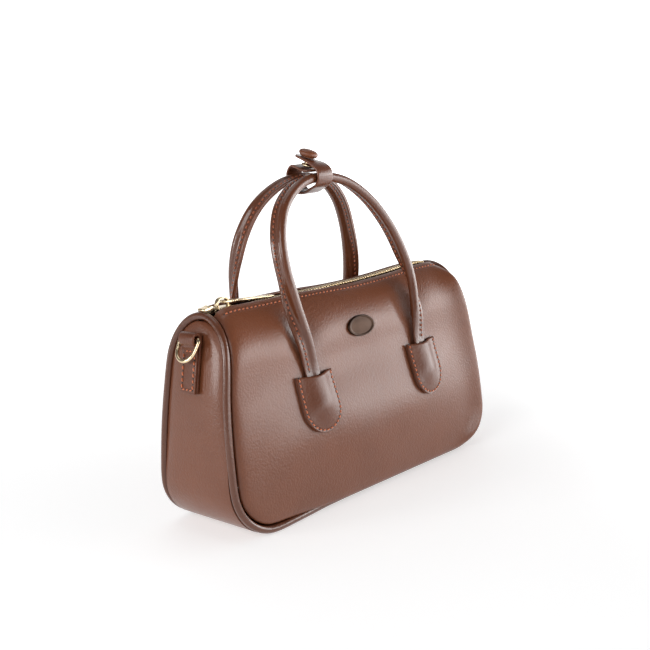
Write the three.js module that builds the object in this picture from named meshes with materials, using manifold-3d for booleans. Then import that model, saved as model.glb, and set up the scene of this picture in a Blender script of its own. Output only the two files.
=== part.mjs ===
// A small leather satchel with two rolled handles, standing on its base.
// Millimetres, +Z up, the front towards -Y, the origin under the middle of the base.
import * as THREE from 'three';
import { mergeVertices } from 'three/addons/utils/BufferGeometryUtils.js';
import Module from 'manifold-3d';

const wasm = await Module();
wasm.setup();

// Body
const LENGTH = 239.8;              // end seam to end seam, low down
const FOOT_HALF_DEPTH = 34.8;      // middle to the front seam, at the floor
const SHOULDER_HALF_DEPTH = 25.8;  // middle to the front seam, where the arched top starts
const SHOULDER_HEIGHT = 98;
const ARCH_RISE = 31;              // shoulder to the crest of an arched end
const CORNER_RADIUS = 29;          // bottom corners, seen from the front
const END_LEAN = 13;               // how far an end leans inwards by its crest
const LEATHER = 1.8;
const PUFF = 2.5;                  // the panels swell by this beside the seams
const PUFF_RUN = 3;                // distance in which most of that swelling comes
const BELLY = 8;                   // more swelling in the middle of a panel
const DENT = { depth: 3, x: 51.5, width: 12, low: 0.84, deep: 1.27, high: 1.75 };   // beside a handle
const ROLL = { out: 6, steep: 1.2, run: 12, full: 1.35, none: 1.75 };   // a panel rolls over its right seam
const HEM = { lift: 2.6, low: 1.45, from: 30, to: -90 };   // a panel's upper edge climbs towards the left
// The top climbs towards the right end, and dips by a share of that beside the seam.
const TOP_RISE = { z: 3, from: 20, to: 106, full: 1.75, dip: 0.7 };
const BASE_TUCK = 4.8;             // along the base the seam runs this much further in than the panels
// Up an end it runs further in by a depth, reached between two distances from the middle.
const END_TUCK = { left: { depth: 1, from: 30, to: 91 }, right: { depth: 3.2, from: 91, to: 119 } };
const PANEL_SAG = { drop: 3, full: 30, none: 91 };   // and at the base they hang down in front of it
const END_CROWN = 1;               // swelling of an end, across its middle
const END_PUFF = { out: 1.8, run: 4 };   // and beside its seams
const END_TOP_LEVEL = 1.94;        // the end leather stops just short of the crest, which is level 2
const PIPING_RADIUS = 2.3;
const PIPING_FLOOR = 0.2;          // the piping stays this far off the floor
const SEAM_INSET = 3;              // leather stops this far from the middle of the piping
const GAP = 0.3;                   // between pieces that touch

// Zip
const ZIP_HALF = 6;               // middle to the edge of a panel
const TAPE_UNDERLAP = 3.6;        // tape hidden under the edge of a panel
const TAPE = 0.8;
const CHAIN = { half: 2.7, height: 2.8, left: -95, right: 101 };
const CLIP = { left: -107.6, right: -100.4, width: 6.6, lowTop: 133, highTop: 134.2, slope: 1 };
const SLIDER = { x: -91, length: 12, width: 9, plate: 1.3, bite: 0.2 };   // bite: where its parts join
const SLIDER_POST = { inset: 0.4, length: 1.2, half: 1 };
const CROWN = { height: 6, width: 3, inset: 1, wall: 1.4 };
const PULLER = { x: -90, length: 40, width: 6.4, thickness: 1.5, bar: 0.8, tilt: 4.5 };
const PULLER_WINDOW = { length: 6.4, width: 3.4, shoulder: 1 };
const PULLER_NECK = { inset: 0.9, from: 10.4, to: 31, ends: 35 };
const PULLER_EYE = { setback: 0.4, wall: 1.3, side: 1.6 };

// Handles
const CORD_RADIUS = 3;
const FLANGE_REACH = 8.1;         // middle of the cord to the sewn edge
const FLANGE_HALF = 1.3;
const FLANGE_TURN = { low: 4, high: 86 };   // degrees from outwards towards the other handle
const LEG = { round: 112, turns: 100, turned: 150, backTurned: 170 };   // heights where cord and turn change
const PRESSED = 0.42;            // thickness left where the end is pressed under its patch
const FIRST_LEAN = 0.34;          // share of the lean that is even from the patch up, the rest comes high up
const FRONT_TOP_Y = -10.4;        // middle of the cord at the top of the arch
const BACK_TOP_Y = 6.2;
const BACK_INSET = { x: 2.6, from: 88, to: 120 };   // the back handle's right leg stands further in
const ARCH_TOP = { x: -12, z: 200.8 };
const ARCH_ROUTE = [              // the cord's middle, seen from the front
  { x: -49.4, z: 70.5 }, { x: -49.4, z: 86.8 }, { x: -52.4, z: 106.8 }, { x: -57.4, z: 130.8 },
  { x: -60, z: 150.8 }, { x: -58, z: 168.8 }, { x: -49, z: 185.8 }, { x: -32, z: 197.3 },
  { x: -12, z: 200.8 }, { x: 9.6, z: 196.5 }, { x: 27, z: 184.4 }, { x: 40, z: 167 },
  { x: 48.4, z: 147.2 }, { x: 52, z: 128.8 }, { x: 51, z: 106.8 }, { x: 49.4, z: 86.8 }, { x: 49.4, z: 70.5 },
];

// Patches over the handle ends
const PATCH = { x: 52, shift: 1.2, top: 87, height: 35.4, width: 30, thickness: 2.2, tipHalf: 3, gap: 0.7 };
const HUMP = { rise: 4.3, half: 15.5, inset: 1, low: 1, high: 0.3 };   // low and high: shares about the bend

// Keeper strap round both handles
const KEEPER = { x: -12.6, width: 13.5, thickness: 1.6 };
const KEEPER_ROUTE = [            // middle of the strap, seen from the end
  { y: 6.6, z: 214.6 }, { y: -2, z: 211.6 }, { y: -10, z: 208.6 }, { y: -14.2, z: 205.4 },
  { y: -15.4, z: 201 }, { y: -13.4, z: 196.8 }, { y: -8, z: 194 }, { y: -1.5, z: 191.4 },
  { y: 5.5, z: 192.4 }, { y: 10.6, z: 198 }, { y: 11.2, z: 204 }, { y: 7.6, z: 208.2 },
  { y: 2.8, z: 207.2 }, { y: -2.6, z: 205.2 }, { y: -8, z: 204.9 },
];
const KEEPER_RISE = 18;           // degrees that the strap's upper end climbs towards the back
const KEEPER_BANK = { turn: 9, full: 0.05, none: 0.25 };   // degrees that it tips to the right
const STUD = { y: -1.2, z: 213.1, radius: 6.3, foot: 5, height: 5.2, waist: 0.45, dome: 75 };
const SNAP = { y: -0.8, z: 207.6, radius: 4.2, lip: 2.8, height: 3 };

// Tabs and rings at the ends
const TAB = { foot: 86, height: 31.5, width: 12.6, thickness: 3.6, eyeRadius: 3.8, holeRadius: 1.5 };
const RING = { wire: 1.15, half: 7.6, corner: 0.6, straight: 6.2, tilt: 19 };

// Plate on the front
const PLATE = { x: -1, z: 106.6, halfLength: 12.3, halfHeight: 6.5, thickness: 1.2, lastTurn: 80 };

const HALF = LENGTH / 2;
const CREST = SHOULDER_HEIGHT + ARCH_RISE;
const SEAM_Z = PIPING_RADIUS + PIPING_FLOOR;   // the seam's height along the base
const CORNER_Z = SEAM_Z + CORNER_RADIUS;
const ZIP_LEVEL = 1 + Math.acos(ZIP_HALF / SHOULDER_HALF_DEPTH) / (Math.PI / 2);   // where a panel ends
const HEART = new THREE.Vector3(0, 0, 60);   // a point well inside the bag

const radians = THREE.MathUtils.degToRad;
const smooth = THREE.MathUtils.smoothstep;
const lerp = THREE.MathUtils.lerp;

/** count + 1 even steps from one value to another. */
function steps(from, to, count) {
  return Array.from({ length: count + 1 }, (unused, i) => lerp(from, to, i / count));
}

/** Signed volume of a closed indexed geometry. */
function volume(geometry) {
  const position = geometry.attributes.position;
  const [a, b, c] = [0, 1, 2].map(() => new THREE.Vector3());
  let total = 0;
  for (let i = 0; i < geometry.index.count; i += 3) {
    [a, b, c].forEach((corner, k) => corner.fromBufferAttribute(position, geometry.index.getX(i + k)));
    total += a.dot(b.cross(c)) / 6;
  }
  return total;
}

/** A closed body through rings of equal count, in which point i faces point n - 1 - i. */
function loft(rings) {
  const count = rings[0].length;
  const index = [];
  const quad = (a, b, c, d) => index.push(a, b, c, a, c, d);
  for (let r = 0; r + 1 < rings.length; r++) {
    for (let i = 0; i < count; i++) {
      const next = (i + 1) % count;
      quad(r * count + i, r * count + next, (r + 1) * count + next, (r + 1) * count + i);
    }
  }
  const last = (rings.length - 1) * count;
  for (let i = 0; i < count / 2 - 1; i++) {
    quad(i, count - 1 - i, count - 2 - i, i + 1);
    quad(last + i, last + i + 1, last + count - 2 - i, last + count - 1 - i);
  }
  const geometry = new THREE.BufferGeometry().setFromPoints(rings.flat());
  geometry.setIndex(index);
  if (volume(geometry) < 0) {
    geometry.setIndex(index.reverse());
  }
  geometry.computeVertexNormals();
  return geometry;
}

/** A closed wall: rows of outer points, thickened towards the inside of the bag. */
function wall(rows, thickness) {
  const near = (list, i) => list[THREE.MathUtils.clamp(i, 0, list.length - 1)];
  const rings = rows.map((row, r) => {
    const inner = row.map((point, c) => {
      const along = near(row, c + 1).clone().sub(near(row, c - 1));
      const up = near(rows, r + 1)[c].clone().sub(near(rows, r - 1)[c]);
      const normal = along.cross(up).normalize();
      const inwards = Math.sign(normal.dot(HEART.clone().sub(point)));
      return point.clone().addScaledVector(normal, inwards * thickness);
    });
    return [...row, ...inner.reverse()];
  });
  return loft(rings);
}

/** Joins closed geometries into one body. */
function join(...geometries) {
  const bodies = geometries.map((geometry) => {
    const bare = geometry.clone();
    bare.deleteAttribute('normal');
    bare.deleteAttribute('uv');
    const merged = mergeVertices(bare);
    return new wasm.Manifold(new wasm.Mesh({
      numProp: 3,
      vertProperties: new Float32Array(merged.attributes.position.array),
      triVerts: new Uint32Array(merged.index.array),
    }));
  });
  const mesh = bodies.reduce((whole, body) => whole.add(body)).getMesh();
  const geometry = new THREE.BufferGeometry();
  geometry.setAttribute('position', new THREE.BufferAttribute(mesh.vertProperties, 3));
  geometry.setIndex(new THREE.BufferAttribute(mesh.triVerts, 1));
  geometry.computeVertexNormals();
  return geometry;
}

/** A flat outline in X and Z, extruded along Y about y = 0. */
function extrudeAlongY(shape, width, curveSegments) {
  const geometry = new THREE.ExtrudeGeometry(shape, { depth: width, bevelEnabled: false, curveSegments });
  geometry.translate(0, 0, -width / 2);
  return geometry.rotateX(Math.PI / 2);
}

/** A box from its corners. */
function box(min, max) {
  const size = max.map((value, i) => value - min[i]);
  const middle = max.map((value, i) => (value + min[i]) / 2);
  return new THREE.BoxGeometry(...size).translate(...middle);
}

/** An end's outline at a level: 0 the floor, 1 the shoulder, 2 the crest. */
function endOutline(level, inset = 0) {
  if (level <= 1) {
    const taper = FOOT_HALF_DEPTH - SHOULDER_HALF_DEPTH;
    const size = Math.hypot(SHOULDER_HEIGHT, taper);
    return {
      half: FOOT_HALF_DEPTH - taper * level - inset,
      z: SHOULDER_HEIGHT * level,
      out: { half: SHOULDER_HEIGHT / size, z: taper / size },
    };
  }
  const angle = (level - 1) * Math.PI / 2;
  const half = SHOULDER_HALF_DEPTH - inset;
  const rise = ARCH_RISE - inset;
  const size = Math.hypot(Math.cos(angle) / half, Math.sin(angle) / rise);
  return {
    half: half * Math.cos(angle),
    z: SHOULDER_HEIGHT + rise * Math.sin(angle),
    out: { half: Math.cos(angle) / half / size, z: Math.sin(angle) / rise / size },
  };
}

/** Half the length of the body at a height, measured to a line inset from the seam. */
function reach(z, inset = 0) {
  if (z < CORNER_Z) {
    const radius = CORNER_RADIUS - inset;
    const drop = Math.min(CORNER_Z - z, radius);
    return HALF - CORNER_RADIUS + Math.sqrt(radius * radius - drop * drop);
  }
  const climbed = (z - CORNER_Z) / (CREST - CORNER_Z);
  return HALF - inset - END_LEAN * climbed * climbed;
}

/** How far the top has climbed at a place along it, a level of the outline and a distance from the seam. */
function topRise(x, level, fromEnd) {
  const dip = TOP_RISE.dip * Math.exp(-Math.max(fromEnd, 0) / PUFF_RUN);
  return TOP_RISE.z * (1 - dip) * smooth(x, TOP_RISE.from, TOP_RISE.to) * smooth(level, 1, TOP_RISE.full);
}

/** Outer face of the front panel, at a share of its half-length and a level of the end's outline. */
function panelPoint(share, level) {
  const outline = endOutline(level);
  const halfLength = reach(outline.z, SEAM_INSET);
  const fromEnd = halfLength * (1 - Math.abs(share));
  const fromBottom = outline.z - SEAM_Z - SEAM_INSET;
  const swell = (distance) => 1 - Math.exp(-Math.max(distance, 0) / PUFF_RUN);
  const x = share * halfLength;
  const belly = level < 1 ? Math.sin(Math.PI * level) ** 2 * (1 - share * share) : 0;
  const besideHandle = (Math.abs(x) - DENT.x) / DENT.width;
  const dent = Math.exp(-besideHandle * besideHandle)
    * smooth(level, DENT.low, DENT.deep) * (1 - smooth(level, DENT.deep, DENT.high));
  const overSeam = (1 - Math.exp(-fromEnd / ROLL.steep)) * Math.exp(-((fromEnd / ROLL.run) ** 2));
  const roll = share > 0 ? overSeam * swell(fromBottom) * (1 - smooth(level, ROLL.full, ROLL.none)) : 0;
  const out = PUFF * swell(fromEnd) * swell(fromBottom) + ROLL.out * roll + BELLY * belly - DENT.depth * dent;
  const lift = HEM.lift * smooth(level, HEM.low, ZIP_LEVEL) * smooth(-x, -HEM.from, -HEM.to) * swell(fromEnd);
  const hangs = share > 0 ? 1 : 1 - smooth(-x, PANEL_SAG.full, PANEL_SAG.none);
  const sag = PANEL_SAG.drop * hangs * (1 - swell(fromBottom));
  const z = outline.z + out * outline.out.z + lift + topRise(x, level, fromEnd) - sag;
  return new THREE.Vector3(x, -outline.half - out * outline.out.half, z);
}

/** Outer face of the front panel straight in front of a place, found by closing in on its height. */
function panelAt(x, z) {
  let level = z / SHOULDER_HEIGHT;
  for (let i = 0; i < 12; i++) {
    const share = x / reach(z, SEAM_INSET);
    level += (z - panelPoint(share, level).z) / SHOULDER_HEIGHT;
  }
  return panelPoint(x / reach(z, SEAM_INSET), level);
}

/** The front panel, from the bottom seam to the zip. */
function frontPanel() {
  const cornerRadius = CORNER_RADIUS - SEAM_INSET;
  const levels = [
    ...steps(0, 90, 4).map((turn) => (CORNER_Z - cornerRadius * Math.cos(radians(turn))) / SHOULDER_HEIGHT),
    ...steps(CORNER_Z / SHOULDER_HEIGHT, 1, 4).slice(1),
    ...steps(1, ZIP_LEVEL, 6).slice(1),
  ];
  const shares = steps(-90, 90, 18).map((turn) => Math.sin(radians(turn)));
  return wall(levels.map((level) => shares.map((share) => panelPoint(share, level))), LEATHER);
}

/** Stations on the seam, from the middle of the base, round a bottom corner, up one end, to the crest. */
function seamStations(end, inset, topLevel, counts) {
  const side = end === 'left' ? -1 : 1;
  const { depth, from, to } = END_TUCK[end];
  const straight = HALF - CORNER_RADIUS;
  const ground = [0, ...steps(END_TUCK.left.from, straight, 4)].map((x) => ({ x, z: SEAM_Z }));
  const corner = steps(0, 90, counts.corner).slice(1).map((turn) => ({
    x: straight + CORNER_RADIUS * Math.sin(radians(turn)),
    z: CORNER_Z - CORNER_RADIUS * Math.cos(radians(turn)),
  }));
  const low = [...ground, ...corner].map((place) => {
    const tuck = lerp(BASE_TUCK, depth, smooth(place.x, from, to));
    return { x: side * place.x, z: place.z, half: endOutline(place.z / SHOULDER_HEIGHT, inset).half - tuck };
  });
  const levels = [
    ...steps(CORNER_Z / SHOULDER_HEIGHT, 1, counts.side).slice(1),
    ...steps(1, topLevel, counts.arch).slice(1),
  ];
  const high = levels.map((level) => {
    const outline = endOutline(level, inset);
    const tuck = depth * (1 - smooth(level, 1, 2));
    const x = side * reach(outline.z);
    return { x, z: outline.z + topRise(x, level, 0), half: outline.half - tuck };
  });
  return [...low, ...high];
}

/** The long strip that makes the left end, the base and the right end. */
function gusset() {
  const [left, right] = ['left', 'right'].map((end) => (
    seamStations(end, SEAM_INSET, END_TOP_LEVEL, { corner: 6, side: 5, arch: 6 })));
  const stations = [...left.reverse(), ...right.slice(1)];
  const across = [-1, -0.84, -0.5, 0, 0.5, 0.84, 1];
  const rows = stations.map((place, i) => {
    const before = stations[Math.max(i - 1, 0)];
    const after = stations[Math.min(i + 1, stations.length - 1)];
    const run = Math.hypot(after.x - before.x, after.z - before.z);
    const out = { x: (after.z - before.z) / run, z: -(after.x - before.x) / run };
    const onBase = place.z <= SEAM_Z;
    const climb = smooth(place.z, SEAM_Z, 2 * CORNER_Z);
    return across.map((share) => {
      const crown = END_CROWN * (1 - share * share) * place.half / SHOULDER_HALF_DEPTH;
      const fromSeam = place.half * (1 - Math.abs(share));
      const puff = END_PUFF.out * (1 - Math.exp(-fromSeam / END_PUFF.run));
      const rise = lerp(SEAM_Z, puff + crown, climb);
      const x = place.x + (onBase ? 0 : out.x * rise);
      const z = onBase ? 0 : Math.max(place.z + out.z * rise, 0);
      return new THREE.Vector3(x, share * place.half, z);
    });
  });
  return wall(rows, LEATHER);
}

/** The piping: one cord round the whole seam, over both crests. */
function piping() {
  const quarter = (end, towards) => seamStations(end, 0, 2, { corner: 5, side: 4, arch: 6 })
    .map((place) => new THREE.Vector3(place.x, towards * place.half, place.z));
  const points = [
    ...quarter('right', -1), ...quarter('right', 1).reverse().slice(1),
    ...quarter('left', 1).slice(1), ...quarter('left', -1).reverse().slice(1, -1),
  ];
  return new THREE.TubeGeometry(new THREE.CatmullRomCurve3(points, true), 144, PIPING_RADIUS, 6, true);
}

/** How far the top of the bag lies below its middle, at a place along the zip. */
function topDrop(x) {
  const fromEnd = reach(CREST, SEAM_INSET) - 2 * GAP - Math.abs(x);
  return PUFF * Math.exp(-Math.max(fromEnd, 0) / PUFF_RUN) - topRise(x, ZIP_LEVEL, fromEnd);
}

/** Height of the upper side of the zip tape, at a distance from the middle. */
function tapeHeight(distance) {
  const angle = Math.acos(Math.min(distance, ZIP_HALF + TAPE_UNDERLAP) / SHOULDER_HALF_DEPTH);
  const underPanel = SHOULDER_HEIGHT + ARCH_RISE * Math.sin(angle) + PUFF - LEATHER - 2 * GAP;
  const tent = smooth(ZIP_HALF - distance, 0, ZIP_HALF);
  return underPanel + tent * GAP;
}

/** The zip tape in front of the middle. */
function frontTape() {
  const ends = reach(CREST, SEAM_INSET) - GAP;
  const along = steps(-90, 90, 18).map((turn) => ends * Math.sin(radians(turn)));
  const across = [ZIP_HALF + TAPE_UNDERLAP, ZIP_HALF, CHAIN.half + GAP];
  const rows = along.map((x) => across.map((distance) => (
    new THREE.Vector3(x, -distance, tapeHeight(distance) - topDrop(x)))));
  return wall(rows, TAPE);
}

/** The row of closed teeth. */
function zipChain() {
  const middle = tapeHeight(0) - TAPE / 2;
  const low = middle - CHAIN.height / 2;
  const high = middle + CHAIN.height / 2;
  const shoulder = high - CHAIN.height / 3;
  const outline = [
    [-CHAIN.half, low], [-CHAIN.half, shoulder], [-CHAIN.half / 2, high],
    [CHAIN.half / 2, high], [CHAIN.half, shoulder], [CHAIN.half, low],
  ];
  const rings = steps(CHAIN.left, CHAIN.right, 12).map((x) => (
    outline.map(([y, z]) => new THREE.Vector3(x, y, z - topDrop(x)))));
  return loft(rings);
}

/** The metal clip on the left end of the zip, sloping down over the piping. */
function zipClip() {
  const overPiping = CREST + PIPING_RADIUS + GAP;
  const beside = -reach(CREST) + PIPING_RADIUS + GAP;
  const onTape = tapeHeight(0) + GAP;
  const outline = new THREE.Shape([
    [CLIP.left, overPiping], [beside, overPiping], [beside + CLIP.slope, onTape], [CLIP.right, onTape],
    [CLIP.right, CLIP.highTop], [CLIP.left, CLIP.lowTop],
  ].map(([x, z]) => new THREE.Vector2(x, z)));
  return extrudeAlongY(outline, CLIP.width, 1);
}

/** Heights in the slider, from the top of the teeth. */
function sliderHeights() {
  const teeth = tapeHeight(0) - TAPE / 2;
  const top = teeth + CHAIN.height / 2 + GAP;
  const low = teeth - CHAIN.height / 2 - 3 * GAP;
  return { top, low, bar: top + SLIDER.plate + CROWN.height / 2 - GAP };
}

/** The slider: two plates joined by a post, and the crown that holds the puller. */
function zipSlider() {
  const { top, low, bar } = sliderHeights();
  const half = SLIDER.length / 2;
  const side = SLIDER.width / 2;
  const post = -half + SLIDER_POST.inset;
  const crown = new THREE.Shape();
  const base = top + SLIDER.plate - SLIDER.bite;
  const crest = base + CROWN.height;
  const crownHalf = half - CROWN.inset;
  crown.moveTo(-crownHalf, base);
  crown.lineTo(crownHalf, base);
  crown.bezierCurveTo(crownHalf, crest, crownHalf, crest, 0, crest);
  crown.bezierCurveTo(-crownHalf, crest, -crownHalf, crest, -crownHalf, base);
  const hole = new THREE.Path();
  hole.absellipse(0, bar, crownHalf - CROWN.wall, PULLER.bar + 2 * GAP, 0, 2 * Math.PI);
  crown.holes.push(hole);
  return join(
    box([-half, -side, top], [half, side, top + SLIDER.plate]),
    box([-half, -side, low - SLIDER.plate], [half, side, low]),
    box([post, -SLIDER_POST.half, low - SLIDER.bite],
      [post + SLIDER_POST.length, SLIDER_POST.half, top + SLIDER.bite]),
    extrudeAlongY(crown, CROWN.width, 5),
  ).translate(SLIDER.x, 0, 0);
}

/** The puller, flat, its bar at the origin and its tongue towards +X. */
function zipPuller() {
  const half = PULLER.width / 2;
  const neck = half - PULLER_NECK.inset;
  const shoulder = PULLER_WINDOW.length + PULLER_WINDOW.shoulder;
  const outline = new THREE.Shape();
  outline.moveTo(-PULLER.bar, -half);
  outline.lineTo(shoulder, -half);
  outline.lineTo(PULLER_NECK.from, -neck);
  outline.lineTo(PULLER_NECK.to, -neck);
  outline.lineTo(PULLER_NECK.ends, -half);
  outline.absarc(PULLER.length - half, 0, half, -Math.PI / 2, Math.PI / 2);
  outline.lineTo(PULLER_NECK.ends, half);
  outline.lineTo(PULLER_NECK.to, neck);
  outline.lineTo(PULLER_NECK.from, neck);
  outline.lineTo(shoulder, half);
  outline.lineTo(-PULLER.bar, half);
  const window = new THREE.Path();
  const windowHalf = PULLER_WINDOW.width / 2;
  window.moveTo(PULLER.bar, -windowHalf);
  window.lineTo(PULLER.bar, windowHalf);
  window.lineTo(PULLER_WINDOW.length, windowHalf);
  window.lineTo(PULLER_WINDOW.length, -windowHalf);
  const eye = new THREE.Path();
  eye.absellipse(PULLER.length - half - PULLER_EYE.setback, 0,
    half - PULLER_EYE.wall, half - PULLER_EYE.side, 0, 2 * Math.PI, true);
  outline.holes.push(window, eye);
  const options = { depth: PULLER.thickness, bevelEnabled: false, curveSegments: 6 };
  return new THREE.ExtrudeGeometry(outline, options).translate(0, 0, -PULLER.thickness / 2);
}

/** A handle: a folded strip round a cord, its sewn flange turning from outwards to the other handle. */
function handle(toFront) {
  const topY = toFront ? FRONT_TOP_Y : -BACK_TOP_Y;
  const lift = 4 * GAP + CORD_RADIUS * PRESSED;
  const mouth = panelAt(PATCH.x, PATCH.top).y - lift;
  const depthAt = ({ x, z }) => {
    const climb = (z - PATCH.top) / (ARCH_TOP.z - PATCH.top);
    return climb <= 0 ? panelAt(x, z).y - lift : lerp(mouth, topY, lerp(climb * climb, climb, FIRST_LEAN));
  };
  const inset = toFront ? 0 : BACK_INSET.x;
  const rightLeg = ({ x, z }) => smooth(x, ARCH_TOP.x, PATCH.x) * smooth(z, BACK_INSET.from, BACK_INSET.to);
  const route = new THREE.CatmullRomCurve3(
    ARCH_ROUTE.map((place) => new THREE.Vector3(place.x - inset * rightLeg(place), depthAt(place), place.z)));
  const rootAngle = Math.asin(FLANGE_HALF / CORD_RADIUS);
  const arc = steps(rootAngle, 2 * Math.PI - rootAngle, 9);
  const rings = steps(0, 1, 42).map((share) => {
    const centre = route.getPointAt(share);
    const tangent = route.getTangentAt(share);
    const outwards = tangent.clone().cross(new THREE.Vector3(0, 1, 0)).normalize();
    const inwards = outwards.clone().cross(tangent);
    const facing = smooth(centre.z, LEG.turns, toFront ? LEG.turned : LEG.backTurned);
    const turn = radians(lerp(FLANGE_TURN.low, FLANGE_TURN.high, facing));
    const thin = lerp(PRESSED, 1, smooth(centre.z, PATCH.top, LEG.round));
    const section = [
      [FLANGE_REACH, FLANGE_HALF],
      ...arc.map((angle) => [CORD_RADIUS * Math.cos(angle), CORD_RADIUS * Math.sin(angle)]),
      [FLANGE_REACH, -FLANGE_HALF],
    ];
    return section.map(([a, b]) => {
      const along = a * Math.cos(turn) - b * thin * Math.sin(turn);
      const inner = a * Math.sin(turn) + b * thin * Math.cos(turn);
      return centre.clone().addScaledVector(outwards, along).addScaledVector(inwards, inner);
    });
  });
  return loft(rings);
}

/** A U-shaped patch on the front panel, raised over the end of a handle. */
function patch(x) {
  const half = PATCH.width / 2;
  const bend = PATCH.top - PATCH.height + half;
  const tipDrop = Math.sqrt(half * half - PATCH.tipHalf * PATCH.tipHalf);
  const straight = steps(PATCH.top, bend, 4).map((z) => ({ z, half }));
  const round = steps(0, 1, 5).slice(1).map((share) => {
    const turn = share * Math.asin(tipDrop / half);
    return { z: bend - half * Math.sin(turn), half: half * Math.cos(turn) };
  });
  const across = steps(-1, 1, 8);
  const rows = [...straight, ...round].map((row) => across.map((share) => {
    const side = share * row.half;
    const point = panelAt(x + PATCH.shift + side, row.z);
    const fromHandle = Math.abs(side + PATCH.shift + Math.sign(x) * HUMP.inset);
    const hump = 0.5 + 0.5 * Math.cos(Math.PI * Math.min(fromHandle / HUMP.half, 1));
    const run = smooth(row.z, bend - HUMP.low * half, bend + HUMP.high * half);
    point.y -= PATCH.gap + PATCH.thickness + HUMP.rise * hump * run;
    return point;
  }));
  return wall(rows, PATCH.thickness);
}

/** A strap of even thickness along a route in Y and Z, as wide as the keeper. */
function keeperStrap() {
  const route = new THREE.CatmullRomCurve3(KEEPER_ROUTE.map(({ y, z }) => new THREE.Vector3(0, y, z)));
  const corners = [[-1, 1], [1, 1], [1, -1], [-1, -1]];
  const rings = steps(0, 1, 48).map((share) => {
    const centre = route.getPointAt(share);
    const bank = -radians(KEEPER_BANK.turn) * (1 - smooth(share, KEEPER_BANK.full, KEEPER_BANK.none));
    const side = route.getTangentAt(share).cross(new THREE.Vector3(1, 0, 0));
    return corners.map(([across, over]) => {
      const x = across * KEEPER.width / 2;
      const rise = over * KEEPER.thickness / 2;
      const point = centre.clone().addScaledVector(side, x * Math.sin(bank) + rise * Math.cos(bank));
      return point.setX(KEEPER.x + x * Math.cos(bank) - rise * Math.sin(bank));
    });
  });
  return loft(rings);
}

/** A round piece turned about a vertical axis, from radii and heights. */
function turned(profile, segments) {
  const points = profile.map(([radius, height]) => new THREE.Vector2(radius, height));
  return new THREE.LatheGeometry(points, segments).rotateX(Math.PI / 2);
}

/** The keeper's stud, domed above and narrower at its foot, standing on the origin. */
function keeperStud() {
  const { radius, foot, height } = STUD;
  const waist = STUD.waist * height;
  const dome = steps(0, STUD.dome, 4).map((turn) => [
    radius * Math.cos(radians(turn)), waist + (height - waist) * Math.sin(radians(turn)),
  ]);
  return turned([[0, 0], [foot, 0], ...dome, [0, height]], 18);
}

/** The snap between the two ends of the keeper, standing on the origin. */
function keeperSnap() {
  const { radius, lip, height } = SNAP;
  const waist = height / 2;
  return turned([[0, 0], [radius, 0], [radius, waist], [lip, waist], [lip, height], [0, height]], 16);
}

/** Where a tab lies on the right end: its foot and its lean. */
function tabPlace() {
  const outside = (z) => reach(z) + END_PUFF.out + END_CROWN + 2 * GAP;
  const top = TAB.foot + TAB.height;
  return { x: outside(TAB.foot), lean: Math.atan2(outside(TAB.foot) - outside(top), TAB.height) };
}

/** A folded tab, its foot at the origin, its inner face in the plane x = 0, its eye on top. */
function endTab() {
  const outline = new THREE.Shape();
  outline.moveTo(0, 0);
  outline.lineTo(TAB.thickness, 0);
  outline.lineTo(TAB.thickness, TAB.height - TAB.eyeRadius);
  outline.absarc(TAB.eyeRadius, TAB.height, TAB.eyeRadius, -Math.PI / 4, Math.PI, false);
  const hole = new THREE.Path();
  hole.absarc(TAB.eyeRadius, TAB.height, TAB.holeRadius, 0, 2 * Math.PI, true);
  outline.holes.push(hole);
  return extrudeAlongY(outline, TAB.width, 10);
}

/** A D-ring hanging from its bar, which lies along Y through the origin. */
function endRing() {
  const bar = steps(-RING.half, RING.half, 4).slice(1, 4).map((y) => new THREE.Vector3(0, y, 0));
  const corner = (side) => new THREE.Vector3(0, side * RING.half, -RING.corner);
  const bow = steps(0, 180, 8).map((turn) => new THREE.Vector3(
    0, RING.half * Math.cos(radians(turn)), -RING.straight - RING.half * Math.sin(radians(turn))));
  const points = [...bar, corner(1), ...bow, corner(-1)];
  return new THREE.TubeGeometry(new THREE.CatmullRomCurve3(points, true), 40, RING.wire, 6, true);
}

/** A plain oval plate lying on the front panel. */
function frontPlate() {
  const rows = steps(-PLATE.lastTurn, PLATE.lastTurn, 8).map((turn) => {
    const across = PLATE.halfLength * Math.cos(radians(turn));
    const up = PLATE.halfHeight * Math.sin(radians(turn)) / Math.sin(radians(PLATE.lastTurn));
    return steps(-1, 1, 6).map((share) => {
      const point = panelAt(PLATE.x + share * across, PLATE.z + up);
      point.y -= GAP + PLATE.thickness;
      return point;
    });
  });
  return wall(rows, PLATE.thickness);
}

const leather = { color: 0x5a382b, roughness: 0.38, metalness: 0 };
const gold = { color: 0xd9bd84, roughness: 0.25, metalness: 1 };
const bronze = { color: 0x4a332a, roughness: 0.35, metalness: 0.8 };
const cloth = { color: 0x53372c, roughness: 0.85, metalness: 0 };

/** A named mesh with a material of its own. */
function mesh(name, geometry, look) {
  const piece = new THREE.Mesh(geometry, new THREE.MeshStandardMaterial(look));
  piece.name = name;
  return piece;
}

/** The same geometry on the back, as a mirror would show it. */
function toBack(geometry) {
  geometry.scale(1, -1, 1);
  geometry.setIndex([...geometry.index.array].reverse());
  return geometry;
}

const satchel = new THREE.Group();
satchel.add(
  mesh('front_panel', frontPanel(), leather),
  mesh('back_panel', toBack(frontPanel()), leather),
  mesh('gusset', gusset(), leather),
  mesh('piping', piping(), leather),
  mesh('zip_tape_front', frontTape(), cloth),
  mesh('zip_tape_back', toBack(frontTape()), cloth),
  mesh('zip_chain', zipChain(), gold),
  mesh('zip_clip', zipClip(), gold),
  mesh('zip_slider', zipSlider(), gold),
  mesh('front_handle', handle(true), leather),
  mesh('back_handle', toBack(handle(false)), leather),
  mesh('keeper_strap', keeperStrap(), leather),
  mesh('front_plate', frontPlate(), bronze),
);

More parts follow.
